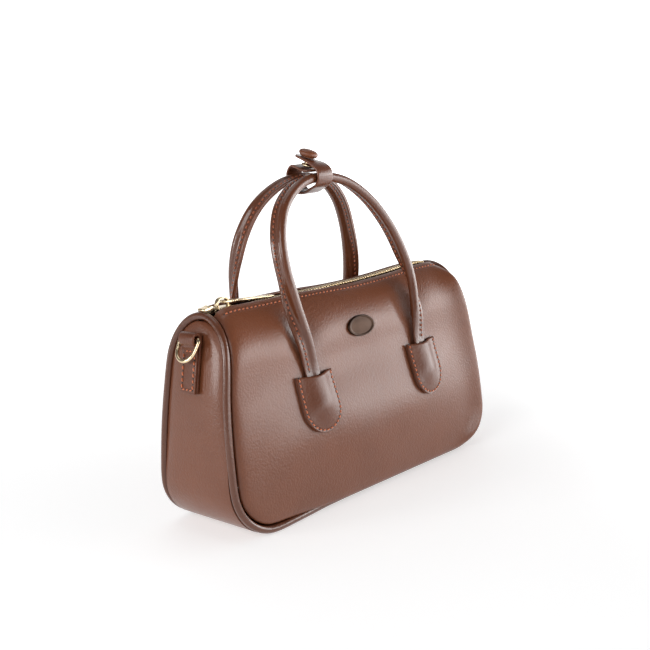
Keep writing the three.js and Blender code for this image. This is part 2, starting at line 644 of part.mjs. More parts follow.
for (const [name, x] of [['left', -PATCH.x], ['right', PATCH.x]]) {
  satchel.add(mesh(`front_${name}_patch`, patch(x), leather));
  satchel.add(mesh(`back_${name}_patch`, toBack(patch(x)), leather));
}

const stud = mesh('keeper_stud', keeperStud(), leather);
const snap = mesh('keeper_snap', keeperSnap(), gold);
for (const [piece, place] of [[stud, STUD], [snap, SNAP]]) {
  piece.position.set(KEEPER.x, place.y, place.z);
  piece.rotation.set(radians(KEEPER_RISE), radians(KEEPER_BANK.turn), 0);
  satchel.add(piece);
}

const puller = mesh('zip_puller', zipPuller(), gold);
puller.position.set(PULLER.x, 0, sliderHeights().bar);
puller.rotation.y = radians(PULLER.tilt);
satchel.add(puller);

for (const [name, turn] of [['right', 0], ['left', Math.PI]]) {
  const end = new THREE.Group();
  end.rotation.z = turn;
  const place = tabPlace();
  const lean = new THREE.Group();
  lean.position.set(place.x, 0, TAB.foot);
  lean.rotation.y = -place.lean;
  const ring = mesh(`${name}_ring`, endRing(), gold);
  ring.position.set(TAB.eyeRadius, 0, TAB.height);
  ring.rotation.y = -radians(RING.tilt);
  lean.add(mesh(`${name}_tab`, endTab(), leather), ring);
  end.add(lean);
  satchel.add(end);
}

export default satchel;
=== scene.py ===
# %% [markdown]
# A small leather satchel with two rolled handles, dressed for the camera. The solids already say where
# each piece sits. This script gives each one the surface that the eye expects: grain, rolled edges,
# piping, stitches and polished metal.

import bmesh
import bpy
import numpy as np
from mathutils import Matrix, Vector


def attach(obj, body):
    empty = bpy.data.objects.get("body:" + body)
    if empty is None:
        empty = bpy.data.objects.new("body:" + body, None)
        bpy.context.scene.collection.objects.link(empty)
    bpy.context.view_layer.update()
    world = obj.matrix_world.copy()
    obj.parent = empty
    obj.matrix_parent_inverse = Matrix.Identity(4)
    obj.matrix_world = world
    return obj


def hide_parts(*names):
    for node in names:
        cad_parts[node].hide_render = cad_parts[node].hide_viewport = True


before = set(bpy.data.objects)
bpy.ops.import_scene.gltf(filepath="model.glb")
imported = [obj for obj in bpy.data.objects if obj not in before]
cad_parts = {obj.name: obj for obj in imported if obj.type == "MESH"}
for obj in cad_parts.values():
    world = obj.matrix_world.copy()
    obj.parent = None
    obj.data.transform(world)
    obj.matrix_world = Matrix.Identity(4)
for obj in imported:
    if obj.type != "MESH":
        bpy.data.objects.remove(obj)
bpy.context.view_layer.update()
MM = 0.001

# %% [markdown]
# The camera stands in front of the left end, a little above the bag, and is turned slightly about its
# own axis. A camera could be aimed with a constraint. Its three axes and its place say the same thing
# in one matrix, and nothing then has to be solved.

# %% Camera
LENS = 58.9747
CAMERA_PLACE = (-497.1476, -465.2466, 236.5337)
CAMERA_RIGHT = (0.67707194, -0.73356266, -0.0588167)
CAMERA_UP = (0.17952913, 0.08713704, 0.97988593)

scene = bpy.context.scene
camera = bpy.data.objects.new("camera", bpy.data.cameras.new("camera"))
camera.data.lens = LENS
camera.data.sensor_width = 36
axes = np.eye(4)
axes[:3] = np.transpose([CAMERA_RIGHT, CAMERA_UP, np.cross(CAMERA_RIGHT, CAMERA_UP),
                         np.array(CAMERA_PLACE) * MM])
camera.matrix_world = Matrix(axes.tolist())
scene.collection.objects.link(camera)
scene.camera = camera
print("camera:", LENS, "mm lens at", CAMERA_PLACE)

# %% [markdown]
# Every finish is a small tree of shader nodes. Written as plain sums, such as 1 - grain, it reads like
# arithmetic. The class below wraps one socket, and each sum on it adds the Math node that works it out.

# %% Shader sums
def plug(socket, value):
    """Links a value that varies, or sets one that doesn't."""
    if isinstance(value, Value):
        socket.id_data.links.new(value.socket, socket)
    else:
        socket.default_value = value

class Value:
    """One output of a shader tree, with sums."""
    def __init__(self, socket):
        self.socket = socket

    def math(self, operation, first, second):
        """The Math node for one sum."""
        node = self.socket.id_data.nodes.new("ShaderNodeMath")
        node.operation = operation
        plug(node.inputs[0], first)
        plug(node.inputs[1], second)
        return Value(node.outputs[0])

    def __add__(self, other):
        return self.math("ADD", self, other)

    def __sub__(self, other):
        return self.math("SUBTRACT", self, other)

    def __rsub__(self, other):
        return self.math("SUBTRACT", other, self)

    def __mul__(self, other):
        return self.math("MULTIPLY", self, other)

    __radd__ = __add__
    __rmul__ = __mul__

class Finish:
    """A material or a world: its main shader, and one method that adds any other node."""
    def __init__(self, owner, shader="Principled BSDF", **constants):
        owner.use_nodes = True
        self.owner = owner
        self.tree = owner.node_tree
        self.shader = self.tree.nodes[shader]
        self.set(**constants)

    def set(self, **values):
        """Sets or links sockets of the main shader; an underscore stands for a space."""
        for name, value in values.items():
            plug(self.shader.inputs[name.replace("_", " ")], value)

    def node(self, kind, settings=None, inputs=None, output=0):
        """A node of a kind: its settings first, then its sockets. Returns one of its outputs."""
        made = self.tree.nodes.new(kind)
        for name, value in (settings or {}).items():
            setattr(made, name, value)
        for name, value in (inputs or {}).items():
            plug(made.inputs[name], value)
        return Value(made.outputs[output])

    def place(self):
        """A point of the piece, in metres."""
        return self.node("ShaderNodeTexCoord", output="Object")

    def noise(self, scale, detail=2.0, roughness=0.5):
        """Soft noise with about scale blobs in a metre."""
        return self.node("ShaderNodeTexNoise", inputs={
            "Vector": self.place(), "Scale": scale, "Detail": detail, "Roughness": roughness})

    def wave(self, way, scale, distortion=0.0):
        """Light and dark bands, set across a direction."""
        return self.node("ShaderNodeTexWave", {"bands_direction": way}, {
            "Vector": self.place(), "Scale": scale, "Distortion": distortion})

    def mark(self):
        """The mesh's own mark, called edge: 1 on cut edges, which are painted dark, and in needle holes,
        where the near black it gives is painted shade.
        """
        return self.node("ShaderNodeAttribute", {"attribute_name": "edge"}, output="Fac")

    def ease(self, value, low, high):
        """0 below low, 1 above high, and a smooth step in between."""
        return self.node("ShaderNodeMapRange", {"interpolation_type": "SMOOTHSTEP"}, {
            "Value": value, "From Min": low, "From Max": high})

    def blend(self, share, first, second):
        """A colour between two others; a plain one is its red, green and blue."""
        first, second = (value if isinstance(value, Value) else (*value, 1) for value in (first, second))
        return self.node("ShaderNodeMix", {"data_type": "RGBA"}, {0: share, 6: first, 7: second}, 2)

    def along(self, vector, way):
        """How far a vector reaches in a direction."""
        settings = {"operation": "DOT_PRODUCT"}
        return self.node("ShaderNodeVectorMath", settings, {0: vector, 1: way}, "Value")

    def bump(self, height, strength, distance):
        """A normal tilted by a height, whose full range stands for a distance in metres."""
        return self.node("ShaderNodeBump", inputs={
            "Height": height, "Strength": strength, "Distance": distance})

def new_finish(name, **constants):
    """A finish on a new material."""
    return Finish(bpy.data.materials.new(name), **constants)

def grey(level):
    """Red, green and blue alike."""
    return level, level, level

print("shader helpers ready")

# %% [markdown]
# Glossy leather shows what stands around it, so the studio matters as much as the finish. The room
# itself is part of it: a white wall behind the bag, a bright window low down at the right, and a dim
# ceiling, which leaves the top of each fold darker. Large soft lights at the left and above give broad
# gentle highlights. Small ones would give hard bright spots.

# %% Studio
WALL_WAY = (0.69, 0.72, -0.1)
WINDOW_WAY = (0.77, -0.64, 0)
MIDDLE = (0, 0, 0.09)
scene.view_settings.view_transform = "Standard"

def soft_light(name, place, aim, size, watts):
    """A rectangular light at a place, facing a point; both in metres."""
    light = bpy.data.lights.new(name, "AREA")
    light.shape = "RECTANGLE"
    light.size, light.size_y = size
    light.energy = watts
    lamp = bpy.data.objects.new(name, light)
    lamp.location = place
    lamp.rotation_euler = (Vector(aim) - Vector(place)).to_track_quat("-Z", "Y").to_euler()
    scene.collection.objects.link(lamp)

scene.world = bpy.data.worlds.new("studio")
studio = Finish(scene.world, "Background", Strength=1.0)
direction = studio.node("ShaderNodeTexCoord", output="Generated")
wall = studio.ease(studio.along(direction, WALL_WAY), 0.62, 0.86)
height = studio.node("ShaderNodeSeparateXYZ", inputs={"Vector": direction}, output="Z")
room = studio.blend(studio.ease(height, 0.1, 0.7), grey(0.32), (0.15, 0.15, 0.155))
beside = studio.along(direction, WINDOW_WAY)
window = studio.ease(beside, 0.62, 0.97) * (1 - studio.ease(height, 0.12, 0.5))
room = studio.blend(window, room, grey(6.5))
studio.set(Color=studio.blend(wall, room, grey(1.1)))
soft_light("left wall", (-1.45, -0.35, 0.85), MIDDLE, (0.8, 0.8), 10)
soft_light("strip", (-1.4, 0.62, 0.36), MIDDLE, (0.5, 0.4), 7)
soft_light("ceiling", (0.1, 0.5, 1.8), MIDDLE, (1.2, 1.2), 4.5)

# %% [markdown]
# The leather is a smooth glossy hide in warm brown. Close up it has a fine grain of rounded pebbles,
# slow changes of tone where the dye took unevenly, and darker painted edges where it is cut. The grain
# is too fine to model, so it tilts the surface normal only. The cut edges carry a mark in the mesh,
# called edge, which darkens them. One recipe makes three finishes: a soft shine for the panels, the ends
# and the stud, a darker one for patches and tabs, and a smooth dark one for the handles, the piping and
# the keeper, where the leather is tight.

# %% Leather
def leather_finish(name, dullness, coat, dark, light):
    """Brown from two noises, grain from rounded cells and two more, edges from the mesh's own mark."""
    finish = new_finish(name, Specular_IOR_Level=0.32, Coat_Weight=coat, Coat_Roughness=dullness / 2)
    slow = finish.noise(22, 3)
    crumple = finish.noise(75, 4, 0.6)
    mottle = finish.noise(160, 3)
    pebbles = finish.node("ShaderNodeTexVoronoi", {"feature": "SMOOTH_F1"}, {
        "Vector": finish.place(), "Scale": 780, "Smoothness": 0.5}, "Distance")
    fine = finish.noise(2100, 2)
    edge = finish.mark()
    tone = finish.blend(slow * 0.7 + mottle * 0.3, dark, light)
    cut = finish.blend(mottle, (0.1, 0.027, 0.01), (0.17, 0.05, 0.019))
    finish.set(
        Base_Color=finish.blend(edge, tone, cut),
        Roughness=dullness + mottle * 0.1 + edge * 0.1,
        Normal=finish.bump(crumple * 0.6 + fine * 0.1 - pebbles * 0.4, 0.42, 0.001),
    )
    return finish.owner

LEATHER_FINISH = leather_finish("glossy_leather", 0.36, 0.35, (0.11, 0.032, 0.012), (0.185, 0.057, 0.023))
PATCH_FINISH = leather_finish("patch_leather", 0.36, 0.3, (0.085, 0.024, 0.009), (0.145, 0.043, 0.017))
ROLLED_FINISH = leather_finish("rolled_leather", 0.24, 0.6, (0.075, 0.021, 0.008), (0.13, 0.039, 0.015))
print("leather finishes:", [material.name for material in bpy.data.materials])

# %% [markdown]
# The metal is pale polished gold, with the faint cloudiness of a plated surface. The plate on the front
# is darker, like bronze that has been left to age. Thread and tape are matt: the thread is coral, or
# brown on the handles, with a twist, and the tape is a tight brown weave.

# %% Metal, thread and tape
def metal_finish(name, dark, light, shine):
    """Two tones of one metal, mixed by a cloudy noise that also dulls it."""
    finish = new_finish(name, Metallic=1.0)
    cloud = finish.noise(120, 3)
    fine = finish.noise(1600, 2)
    finish.set(
        Base_Color=finish.blend(cloud, dark, light),
        Roughness=shine + cloud * 0.1,
        Normal=finish.bump(fine, 0.05, 0.0001),
    )
    return finish.owner

def thread_finish(name, dark, light):
    """Thread: a matt colour, ribbed by a fine slanted wave, and near black where the mesh marks a needle
    hole: painted shade in the hole.
    """
    finish = new_finish(name, Sheen_Weight=0.1)
    strand = finish.wave("DIAGONAL", 700, 1.5)
    thread = finish.blend(strand, dark, light)
    # Near black where the mesh's mark is set: painted shade in the needle holes.
    finish.set(
        Base_Color=finish.blend(finish.mark(), thread, (0.02, 0.007, 0.004)),
        Roughness=0.5 + strand * 0.15,
        Normal=finish.bump(strand, 0.4, 0.0002),
    )
    return finish.owner

def tape_finish():
    """Woven tape: two crossed waves, one along the zip and one across it."""
    finish = new_finish("woven_tape", Sheen_Weight=0.1)
    weave = finish.wave("X", 330) * finish.wave("Y", 300)
    finish.set(
        Base_Color=finish.blend(weave, (0.06, 0.018, 0.008), (0.15, 0.05, 0.024)),
        Roughness=0.9 - weave * 0.2,
        Normal=finish.bump(weave, 0.5, 0.0003),
    )
    return finish.owner

GOLD_FINISH = metal_finish("pale_gold", (0.66, 0.5, 0.3), (0.86, 0.71, 0.48), 0.16)
BRONZE_FINISH = metal_finish("aged_bronze", (0.025, 0.015, 0.011), (0.06, 0.037, 0.027), 0.36)
THREAD_FINISH = thread_finish("coral_thread", (0.42, 0.1, 0.036), (0.68, 0.2, 0.08))
BROWN_THREAD_FINISH = thread_finish("brown_thread", (0.26, 0.065, 0.025), (0.46, 0.13, 0.055))
TAPE_FINISH = tape_finish()
print("all finishes:", [material.name for material in bpy.data.materials])

# %% [markdown]
# Almost every piece is a sheet or a strip, so a few helpers make them all: a grid of points becomes
# faces, two sheets become a shell with a round rim, and a profile is carried along a path. Points are
# in millimetres until they go into a mesh.

# %% Grids and pieces
HEART = np.array([0, 0, 60])
MERGE_WITHIN = 2e-6

def unit(vectors):
    """Vectors of length one."""
    return vectors / np.maximum(np.linalg.norm(vectors, axis=-1, keepdims=True), 1e-12)

def smooth(value, low, high):
    """0 up to low, 1 from high on, and 3t^2 - 2t^3 in between."""
    t = np.clip((value - low) / (high - low), 0, 1)
    return t * t * (3 - 2 * t)

def as_points(*columns):
    """Points from their coordinates, each stretched to the shape of the others."""
    return np.stack(np.broadcast_arrays(*columns), -1)

def full_turn(count):
    """Angles of a full turn at even steps, without the one that repeats the first."""
    return np.linspace(0, 2 * np.pi, count, endpoint=False)

def crowded(count, share):
    """Numbers from -1 to 1, closer at both ends: a share of sin(pi t / 2) in place of t."""
    even = np.linspace(-1, 1, count)
    return (1 - share) * even + share * np.sin(np.pi / 2 * even)

def power(value, exponent):
    """A power that keeps the sign: sign v x |v|^e."""
    return np.sign(value) * np.abs(value)**exponent

def tipped(a, b, angle):
    """Two coordinates turned by an angle: a cos - b sin, and a sin + b cos."""
    return a * np.cos(angle) - b * np.sin(angle), a * np.sin(angle) + b * np.cos(angle)

def skin(grid, edge=0.0, wraps=False):
    """Points, quads and edge marks of a grid; one that wraps joins its last column to its first."""
    rows, cols = grid.shape[:2]
    place = np.arange(rows * cols).reshape(rows, cols)
    if wraps:
        place = np.hstack([place, place[:, :1]])
    quads = np.stack([place[:-1, :-1], place[:-1, 1:], place[1:, 1:], place[1:, :-1]], -1)
    marks = np.broadcast_to(edge, (rows, cols))
    return grid.reshape(-1, 3), quads.reshape(-1, 4), marks.reshape(-1)

def together(*skins):
    """Several skins as one: the quads of each count on from the points before it."""
    points, quads, marks = zip(*skins)
    starts = np.cumsum([0] + [len(one) for one in points])
    quads = [one + start for one, start in zip(quads, starts)]
    return np.vstack(points), np.vstack(quads), np.concatenate(marks)

def placed(shape, move):
    """A skin with its points moved by a function."""
    points, quads, marks = shape
    return move(points), quads, marks

def add_piece(name, shape, finish, nodes=(), body="bag"):
    """A mesh from a skin: doubles merged, faces turned outwards, riding on its body."""
    points, quads, marks = shape
    mesh = bpy.data.meshes.new(name)
    mesh.from_pydata((points * MM).tolist(), [], quads.tolist())
    mesh.attributes.new("edge", "FLOAT", "POINT").data.foreach_set("value", marks.astype(np.float32))
    work = bmesh.new()
    work.from_mesh(mesh)
    bmesh.ops.remove_doubles(work, verts=work.verts, dist=MERGE_WITHIN)
    bmesh.ops.recalc_face_normals(work, faces=work.faces)
    work.to_mesh(mesh)
    work.free()
    mesh.shade_smooth()
    mesh.materials.append(finish)
    piece = bpy.data.objects.new(name, mesh)
    scene.collection.objects.link(piece)
    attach(piece, body)
    if nodes:
        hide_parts(*nodes)
    print(name, len(mesh.polygons), "faces")

print("helpers for grids ready")

# %% [markdown]
# Leather has thickness, and its edges are never knife sharp. A Solidify and a Bevel modifier could give
# both. Here the sheet is doubled instead: half the thickness goes to either side of its middle, and the
# two sides close in on each other along all four edges as a half circle does.

# %% Shells
RIM_TURNS = np.radians([0, 25, 50, 72])

def finer_rim(grid, half):
    """Adds rows near the first and last row, at half x (1 - cos turn) from the edge."""
    steps = half * (1 - np.cos(RIM_TURNS))[:, None, None]
    first = grid[0] + steps * unit(grid[1] - grid[0])
    last = grid[-1] + steps * unit(grid[-2] - grid[-1])
    return np.concatenate([first, grid[1:-1], last[::-1]])

def rim_shares(count):
    """Share of the full thickness in each row that finer_rim gives: sin turn near the edges."""
    middle = np.ones(count - 2)
    return np.concatenate([np.sin(RIM_TURNS), middle, np.sin(RIM_TURNS)[::-1]])

def facing(grid, away=HEART):
    """Normals of a grid, from the cross product of its two directions, turned away from a point."""
    normal = unit(np.cross(np.gradient(grid, axis=1), np.gradient(grid, axis=0)))
    return normal * np.sign(((grid - away) * normal).sum(-1, keepdims=True))

def shell(outer, thickness, raw=0.0, away=HEART):
    """Two sheets that meet in a round rim; raw marks the rim as a cut edge."""
    half = thickness / 2
    rows, cols = outer.shape[:2]
    fine = finer_rim(outer, half)
    fine = finer_rim(fine.swapaxes(0, 1), half).swapaxes(0, 1)
    out = facing(fine, away)
    share = np.minimum(rim_shares(rows)[:, None], rim_shares(cols)[None, :])
    lift = (half * share)[..., None] * out
    middle = fine - half * out
    marks = raw * (1 - smooth(share, 0.75, 1.0))
    return together(skin(middle + lift, marks), skin(middle - lift, marks))

print("helpers for shells ready")

# %% [markdown]
# Cords, straps and wires are one section carried along a path. A curve object with a bevel could do that.
# A sweep worked out here leaves the section free to change on its way: to shrink, to turn or to be pressed
# flat.

# %% Paths and sweeps
def route(knots, count, closed=False):
    """Cubic pieces from knot to knot, with slopes from the square roots of the gaps, at even steps."""
    knots = np.asarray(knots, float)
    if closed:
        p = np.vstack([knots[-1:], knots, knots[:2]])
    else:
        p = np.vstack([2 * knots[:1] - knots[1:2], knots, 2 * knots[-1:] - knots[-2:-1]])
    gap = np.sqrt(np.linalg.norm(np.diff(p, axis=0), axis=1))[:, None]
    a, b, c, d = p[:-3], p[1:-2], p[2:-1], p[3:]
    da, db, dc = gap[:-2], gap[1:-1], gap[2:]
    leave = db * ((b - a) / da - (c - a) / (da + db) + (c - b) / db)
    arrive = db * ((c - b) / db - (d - b) / (db + dc) + (d - c) / dc)
    t = np.linspace(0, 1, 48, endpoint=False)[None, :, None]
    b, c, leave, arrive = (value[:, None] for value in (b, c, leave, arrive))
    curve = (b + leave * t + (3 * (c - b) - 2 * leave - arrive) * t**2
             + (2 * (b - c) + leave + arrive) * t**3)
    curve = np.vstack([curve.reshape(-1, knots.shape[1]), c[-1]])
    return evenly(curve, count, closed)

def lengths(path):
    """The length along a path, from its start to each of its points."""
    return np.concatenate([[0], np.cumsum(np.linalg.norm(np.diff(path, axis=0), axis=1))])

def look_up(at, length, table):
    """Rows of a table at given lengths, on straight lines between the rows it has."""
    return np.stack([np.interp(at, length, column) for column in table.T], -1)

def evenly(curve, count, closed=False):
    """A polyline at even steps of its length; a closed one leaves out its repeated end."""
    length = lengths(curve)
    return look_up(np.linspace(0, length[-1], count, endpoint=not closed), length, curve)

def sweep(path, across, over, section, edge=0.0, closed=False):
    """A section (a, b) at path + a across + b over; open ends are drawn shut to their middle."""
    section = np.broadcast_to(section, (len(path), *np.shape(section)[-2:]))
    across, over = (np.broadcast_to(way, path.shape)[:, None] for way in (across, over))
    grid = path[:, None] + section[..., :1] * across + section[..., 1:] * over
    if closed:
        grid = np.concatenate([grid, grid[:1]])
    else:
        ends = grid[[0, -1]].mean(1, keepdims=True) + 0 * grid[[0, -1]]
        grid = np.concatenate([ends[:1], grid, ends[1:]])
    marks = np.broadcast_to(edge, grid.shape[:2])
    return skin(grid, marks, wraps=True)

def tangents(path, closed=False):
    """Directions along a path, from the points before and after each."""
    if closed:
        return unit(np.roll(path, -1, 0) - np.roll(path, 1, 0))
    return unit(np.gradient(path, axis=0))

def circle(radius, count):
    """Points of a circle, as a section."""
    turn = full_turn(count)
    return radius * as_points(np.cos(turn), np.sin(turn))

def rounded_strip(width, thickness, radius, count=5):
    """A rectangle with round corners, as a section: each corner is a quarter circle."""
    turn = np.radians(np.linspace(0, 90, count))
    a = width / 2 - radius + radius * np.cos(turn)
    b = thickness / 2 - radius + radius * np.sin(turn)
    quarter = as_points(a, b)
    return np.vstack([quarter, quarter[::-1] * [-1, 1], -quarter, quarter[::-1] * [1, -1]])

print("helpers for paths and sweeps ready")

# %% [markdown]
# A stitch that shows is a short length of thread between two needle holes. It lies on the leather,
# bows up a little in the middle and dives in at both ends. Hundreds are needed, so each is a thin
# tube with few faces, and one sum makes all the stitches of a row at once.

# %% Stitches
PITCH = 3.3
THREAD_RADIUS, THREAD_BOW = 0.46, 0.75
# Each needle hole is a short sunken tube painted near black: painted shade in the hole.
HOLE_SHADE_RADIUS, HOLE_SHADE_BOW, HOLE_SHADE_HALF = 0.56, -0.35, 0.55

def stitches(starts, ends, out, radius, bow, mark=0.0):
    """Tubes from starts to ends: the middle line bows as 1 - t^2, the radius shrinks to a point. A mark of
    1 makes a tube a needle hole, painted near black as shade.
    """
    t = np.linspace(-1, 1, 7)
    turn = full_turn(6)
    along = (ends - starts) / 2
    side = np.cross(out, unit(along))
    rise = bow * radius * (1 - t**2) - 0.15 * radius
    middle = ((starts + ends) / 2)[:, None] + along[:, None] * t[:, None] + out[:, None] * rise[:, None]
    thick = radius * np.sqrt(1 - t**4)[None, :, None, None]
    ring = np.cos(turn)[:, None] * side[:, None, None] + np.sin(turn)[:, None] * out[:, None, None]
    grid = middle[:, :, None] + thick * ring
    return together(*[skin(one, mark, wraps=True) for one in grid])

def stitch_row(path, out, pitch=PITCH, fill=0.7, slant=0.12):
    """Stitches along a path, as many as fit, each a little askew, and at every start a sunken marked tube,
    painted near black as the shade in the needle hole.
    """
    length = lengths(path)
    count = max(int(round(length[-1] / pitch)), 1)
    step = length[-1] / count
    first = (np.arange(count) + (1 - fill) / 2) * step
    starts = look_up(first, length, path)
    ends = look_up(first + fill * step, length, path)
    outs = unit(look_up(first + fill * step / 2, length, np.broadcast_to(out, path.shape)))
    way = unit(ends - starts)
    lean = np.cross(outs, way) * slant * pitch / 2
    # The needle holes: short sunken tubes that the mark 1.0 paints near black, as painted shade.
    holes = starts - way * (1 - fill) * step / 2
    half = HOLE_SHADE_HALF * way
    return together(stitches(starts - lean, ends + lean, outs, THREAD_RADIUS, THREAD_BOW),
                    stitches(holes - half, holes + half, outs, HOLE_SHADE_RADIUS, HOLE_SHADE_BOW, 1.0))

print("helper for stitches ready")

# %% [markdown]
# The body is two panels, front and back, sewn to one long strip that makes both ends and the base. Seen
# from the end, its outline rises from the base with straight sides and closes in an arch. A single
# curve through a few places on that outline has no kink, and glossy leather would show one.

# %% Outline of the body
HALF = 119.9
FOOT_HALF_DEPTH = 34.8
SHOULDER_HALF_DEPTH = 25.8
SHOULDER_HEIGHT = 98
ARCH_RISE = 31
CREST = SHOULDER_HEIGHT + ARCH_RISE
CORNER_RADIUS = 29
END_LEAN = 13
PIPING_RADIUS = 2.3
SEAM_Z = 2.5
CORNER_Z = SEAM_Z + CORNER_RADIUS
SEAM_INSET = 3
ZIP_HALF = 6
LEATHER = 1.8
ZIP_LEVEL = 1 + np.arccos(ZIP_HALF / SHOULDER_HALF_DEPTH) / (np.pi / 2)
PUFF, PUFF_RUN = 2.5, 3
RISE, RISE_FROM, RISE_TO, RISE_FULL, RISE_DIP = 3, 20, 106, 1.75, 0.7

def end_outline(level, inset=0):
    """Half depth and height: a straight line up to level 1, then a quarter ellipse up to level 2."""
    turn = np.clip(level - 1, 0, 1) * np.pi / 2
    low = np.asarray(level) <= 1
    foot = FOOT_HALF_DEPTH - (FOOT_HALF_DEPTH - SHOULDER_HALF_DEPTH) * np.asarray(level)
    half = np.where(low, foot - inset, (SHOULDER_HALF_DEPTH - inset) * np.cos(turn))
    arch = SHOULDER_HEIGHT + (ARCH_RISE - inset) * np.sin(turn)
    return half, np.where(low, SHOULDER_HEIGHT * np.asarray(level), arch)

def reach(z, inset=0):
    """Half the length at a height: a quarter circle at the foot, then a parabola that leans inwards."""
    radius = CORNER_RADIUS - inset
    drop = np.clip(CORNER_Z - z, 0, radius)
    climbed = np.clip((z - CORNER_Z) / (CREST - CORNER_Z), 0, None)
    corner = HALF - CORNER_RADIUS + np.sqrt(radius**2 - drop**2)
    return np.where(z < CORNER_Z, corner, HALF - inset - END_LEAN * climbed**2)

def swell(distance):
    """1 - exp(-d / run): most of the swelling comes close to the seam."""
    return 1 - np.exp(-np.maximum(distance, 0) / PUFF_RUN)

def top_rise(x, level, from_end):
    """How far the top climbs towards the right: eased along it and up the arch, less beside the seam."""
    beside_seam = 1 - RISE_DIP + RISE_DIP * swell(from_end)
    return RISE * smooth(x, RISE_FROM, RISE_TO) * smooth(level, 1, RISE_FULL) * beside_seam

PROFILE_LEVELS = np.array([(SEAM_Z + SEAM_INSET) / SHOULDER_HEIGHT, 0.3, 0.56, 0.8,
                           1.14, 1.32, 1.5, 1.68, ZIP_LEVEL])
PROFILE = route(as_points(*end_outline(PROFILE_LEVELS)), 600)
PROFILE_OUT = tangents(PROFILE)[:, ::-1] * [1, -1]
CLIMB = lengths(PROFILE)
print("from the bottom seam to the zip:", round(CLIMB[-1], 1), "mm")

# %% [markdown]
# The panels are soft. They puff out beside the seams, belly in the middle, sag over the bottom seam and
# give way a little beside the handles. Their side edges turn in towards the seam. A cloth simulation
# could find such a shape. Each of these movements is known here, so they are added up along the
# outline's normal, and the result is the same every time.

# %% Panels
BELLY = 8
DENT_DEPTH, DENT_X, DENT_WIDTH = 3, 51.5, 12
DENT_LOW, DENT_DEEP, DENT_HIGH = 0.84, 1.27, 1.75
ROLL_OUT, ROLL_STEEP, ROLL_RUN = 6, 1.2, 12
ROLL_FADE, ROLL_NONE = 1.35, 1.75
SAG_DROP, SAG_FULL, SAG_NONE = 3, 30, 91
HEM_LINE, HEM_GROOVE, HEM_WIDTH = 5, 0.3, 0.8
HEM_LIFT, LIFT_LEVEL, LIFT_NONE, LIFT_FULL = 2.6, 1.45, -30, 90
LEFT_TUCK, RIGHT_TUCK, TUCK_RUN = 1, 3.2, 1.2
RIPPLE = 0.3
FAR_BEHIND = (0, 400, 60)

def waves(a, b):
    """Slow uneven ripples between -1 and 1: two sines, each bent by a slower one."""
    return np.sin(a / 13 + 1.3 * np.sin(b / 21) + 0.7) * np.sin(b / 11 + 1.1 * np.sin(a / 29))

def panel(share, climb):
    """Outer face of the front panel, at a share of its half length and a length up its outline."""
    at = lambda column: np.interp(climb, CLIMB, column)
    half, z = at(PROFILE[:, 0]), at(PROFILE[:, 1])
    level = np.where(z < SHOULDER_HEIGHT, z / SHOULDER_HEIGHT,
                     1 + np.arcsin(np.clip((z - SHOULDER_HEIGHT) / ARCH_RISE, 0, 1)) / (np.pi / 2))
    length = reach(z, SEAM_INSET)
    x = share * length
    from_end = length * (1 - np.abs(share))
    beside_end = swell(from_end)
    above_seam = swell(z - SEAM_Z - SEAM_INSET)
    belly = np.sin(np.pi * np.minimum(level, 1))**2 * (1 - share**2)
    dent = (np.exp(-((np.abs(x) - DENT_X) / DENT_WIDTH)**2)
            * smooth(level, DENT_LOW, DENT_DEEP) * (1 - smooth(level, DENT_DEEP, DENT_HIGH)))
    hem = np.exp(-((CLIMB[-1] - climb - HEM_LINE) / HEM_WIDTH)**2)
    roll = ((1 - np.exp(-from_end / ROLL_STEEP)) * np.exp(-(from_end / ROLL_RUN)**2)
            * above_seam * (1 - smooth(level, ROLL_FADE, ROLL_NONE)) * (share > 0))
    swollen = beside_end * above_seam
    out = (PUFF * swollen + ROLL_OUT * roll + BELLY * belly - DENT_DEPTH * dent - HEM_GROOVE * hem
           + RIPPLE * swollen * waves(x, climb))
    lift = HEM_LIFT * smooth(level, LIFT_LEVEL, ZIP_LEVEL) * smooth(-x, LIFT_NONE, LIFT_FULL) * beside_end
    sag = SAG_DROP * (1 - smooth(-x, SAG_FULL, SAG_NONE)) * (1 - above_seam)
    tuck = np.where(share > 0, RIGHT_TUCK, LEFT_TUCK) * np.exp(-from_end / TUCK_RUN)
    return as_points(
        x, tuck * (1 - smooth(level, 1, 2)) - half - out * at(PROFILE_OUT[:, 0]),
        z + out * at(PROFILE_OUT[:, 1]) + lift + top_rise(x, level, from_end) - sag)

def mirrored(shape):
    """A skin mirrored front to back."""
    return placed(shape, lambda points: points * [1, -1, 1])

shares = crowded(165, 0.35)
climbs = np.concatenate([np.arange(0, 14, 1.0), np.arange(14, CLIMB[-1] - 12, 1.9),
                         np.linspace(CLIMB[-1] - 11, CLIMB[-1], 16)])
front = shell(panel(shares[None], climbs[:, None]), LEATHER, away=FAR_BEHIND)
add_piece("front_leather", front, LEATHER_FINISH, ["front_panel"])
add_piece("back_leather", mirrored(front), LEATHER_FINISH, ["back_panel"])

# %% [markdown]
# A row of coral stitches holds the turned edge of each panel to the zip tape. It runs beside the zip and
# stops short of the ends.

# %% Hem stitches
HEM_SHARE = 0.955
hem_climbs = CLIMB[-1] - np.array([HEM_LINE + 3, HEM_LINE, 0])
hem_grid = panel(np.linspace(-HEM_SHARE, HEM_SHARE, 240)[None], hem_climbs[:, None])
front_hem = stitch_row(hem_grid[1], facing(hem_grid)[1])
add_piece("hem_stitches", together(front_hem, mirrored(front_hem)), THREAD_FINISH)

# %% [markdown]
# The ends and the base are one strip of leather. It is flat where the bag stands on it and crowned at
# the ends. Its two long edges follow the seam, and the piping is a leather covered cord that
# covers that seam all the way round.

# %% Seam
BASE_TUCK = 4.8
END_TUCK = {-1: (LEFT_TUCK, SAG_FULL, SAG_NONE), 1: (RIGHT_TUCK, 91, 119)}
STRAIGHT = HALF - CORNER_RADIUS
BASE_X = [0, 30, 45, 60, 76, STRAIGHT]

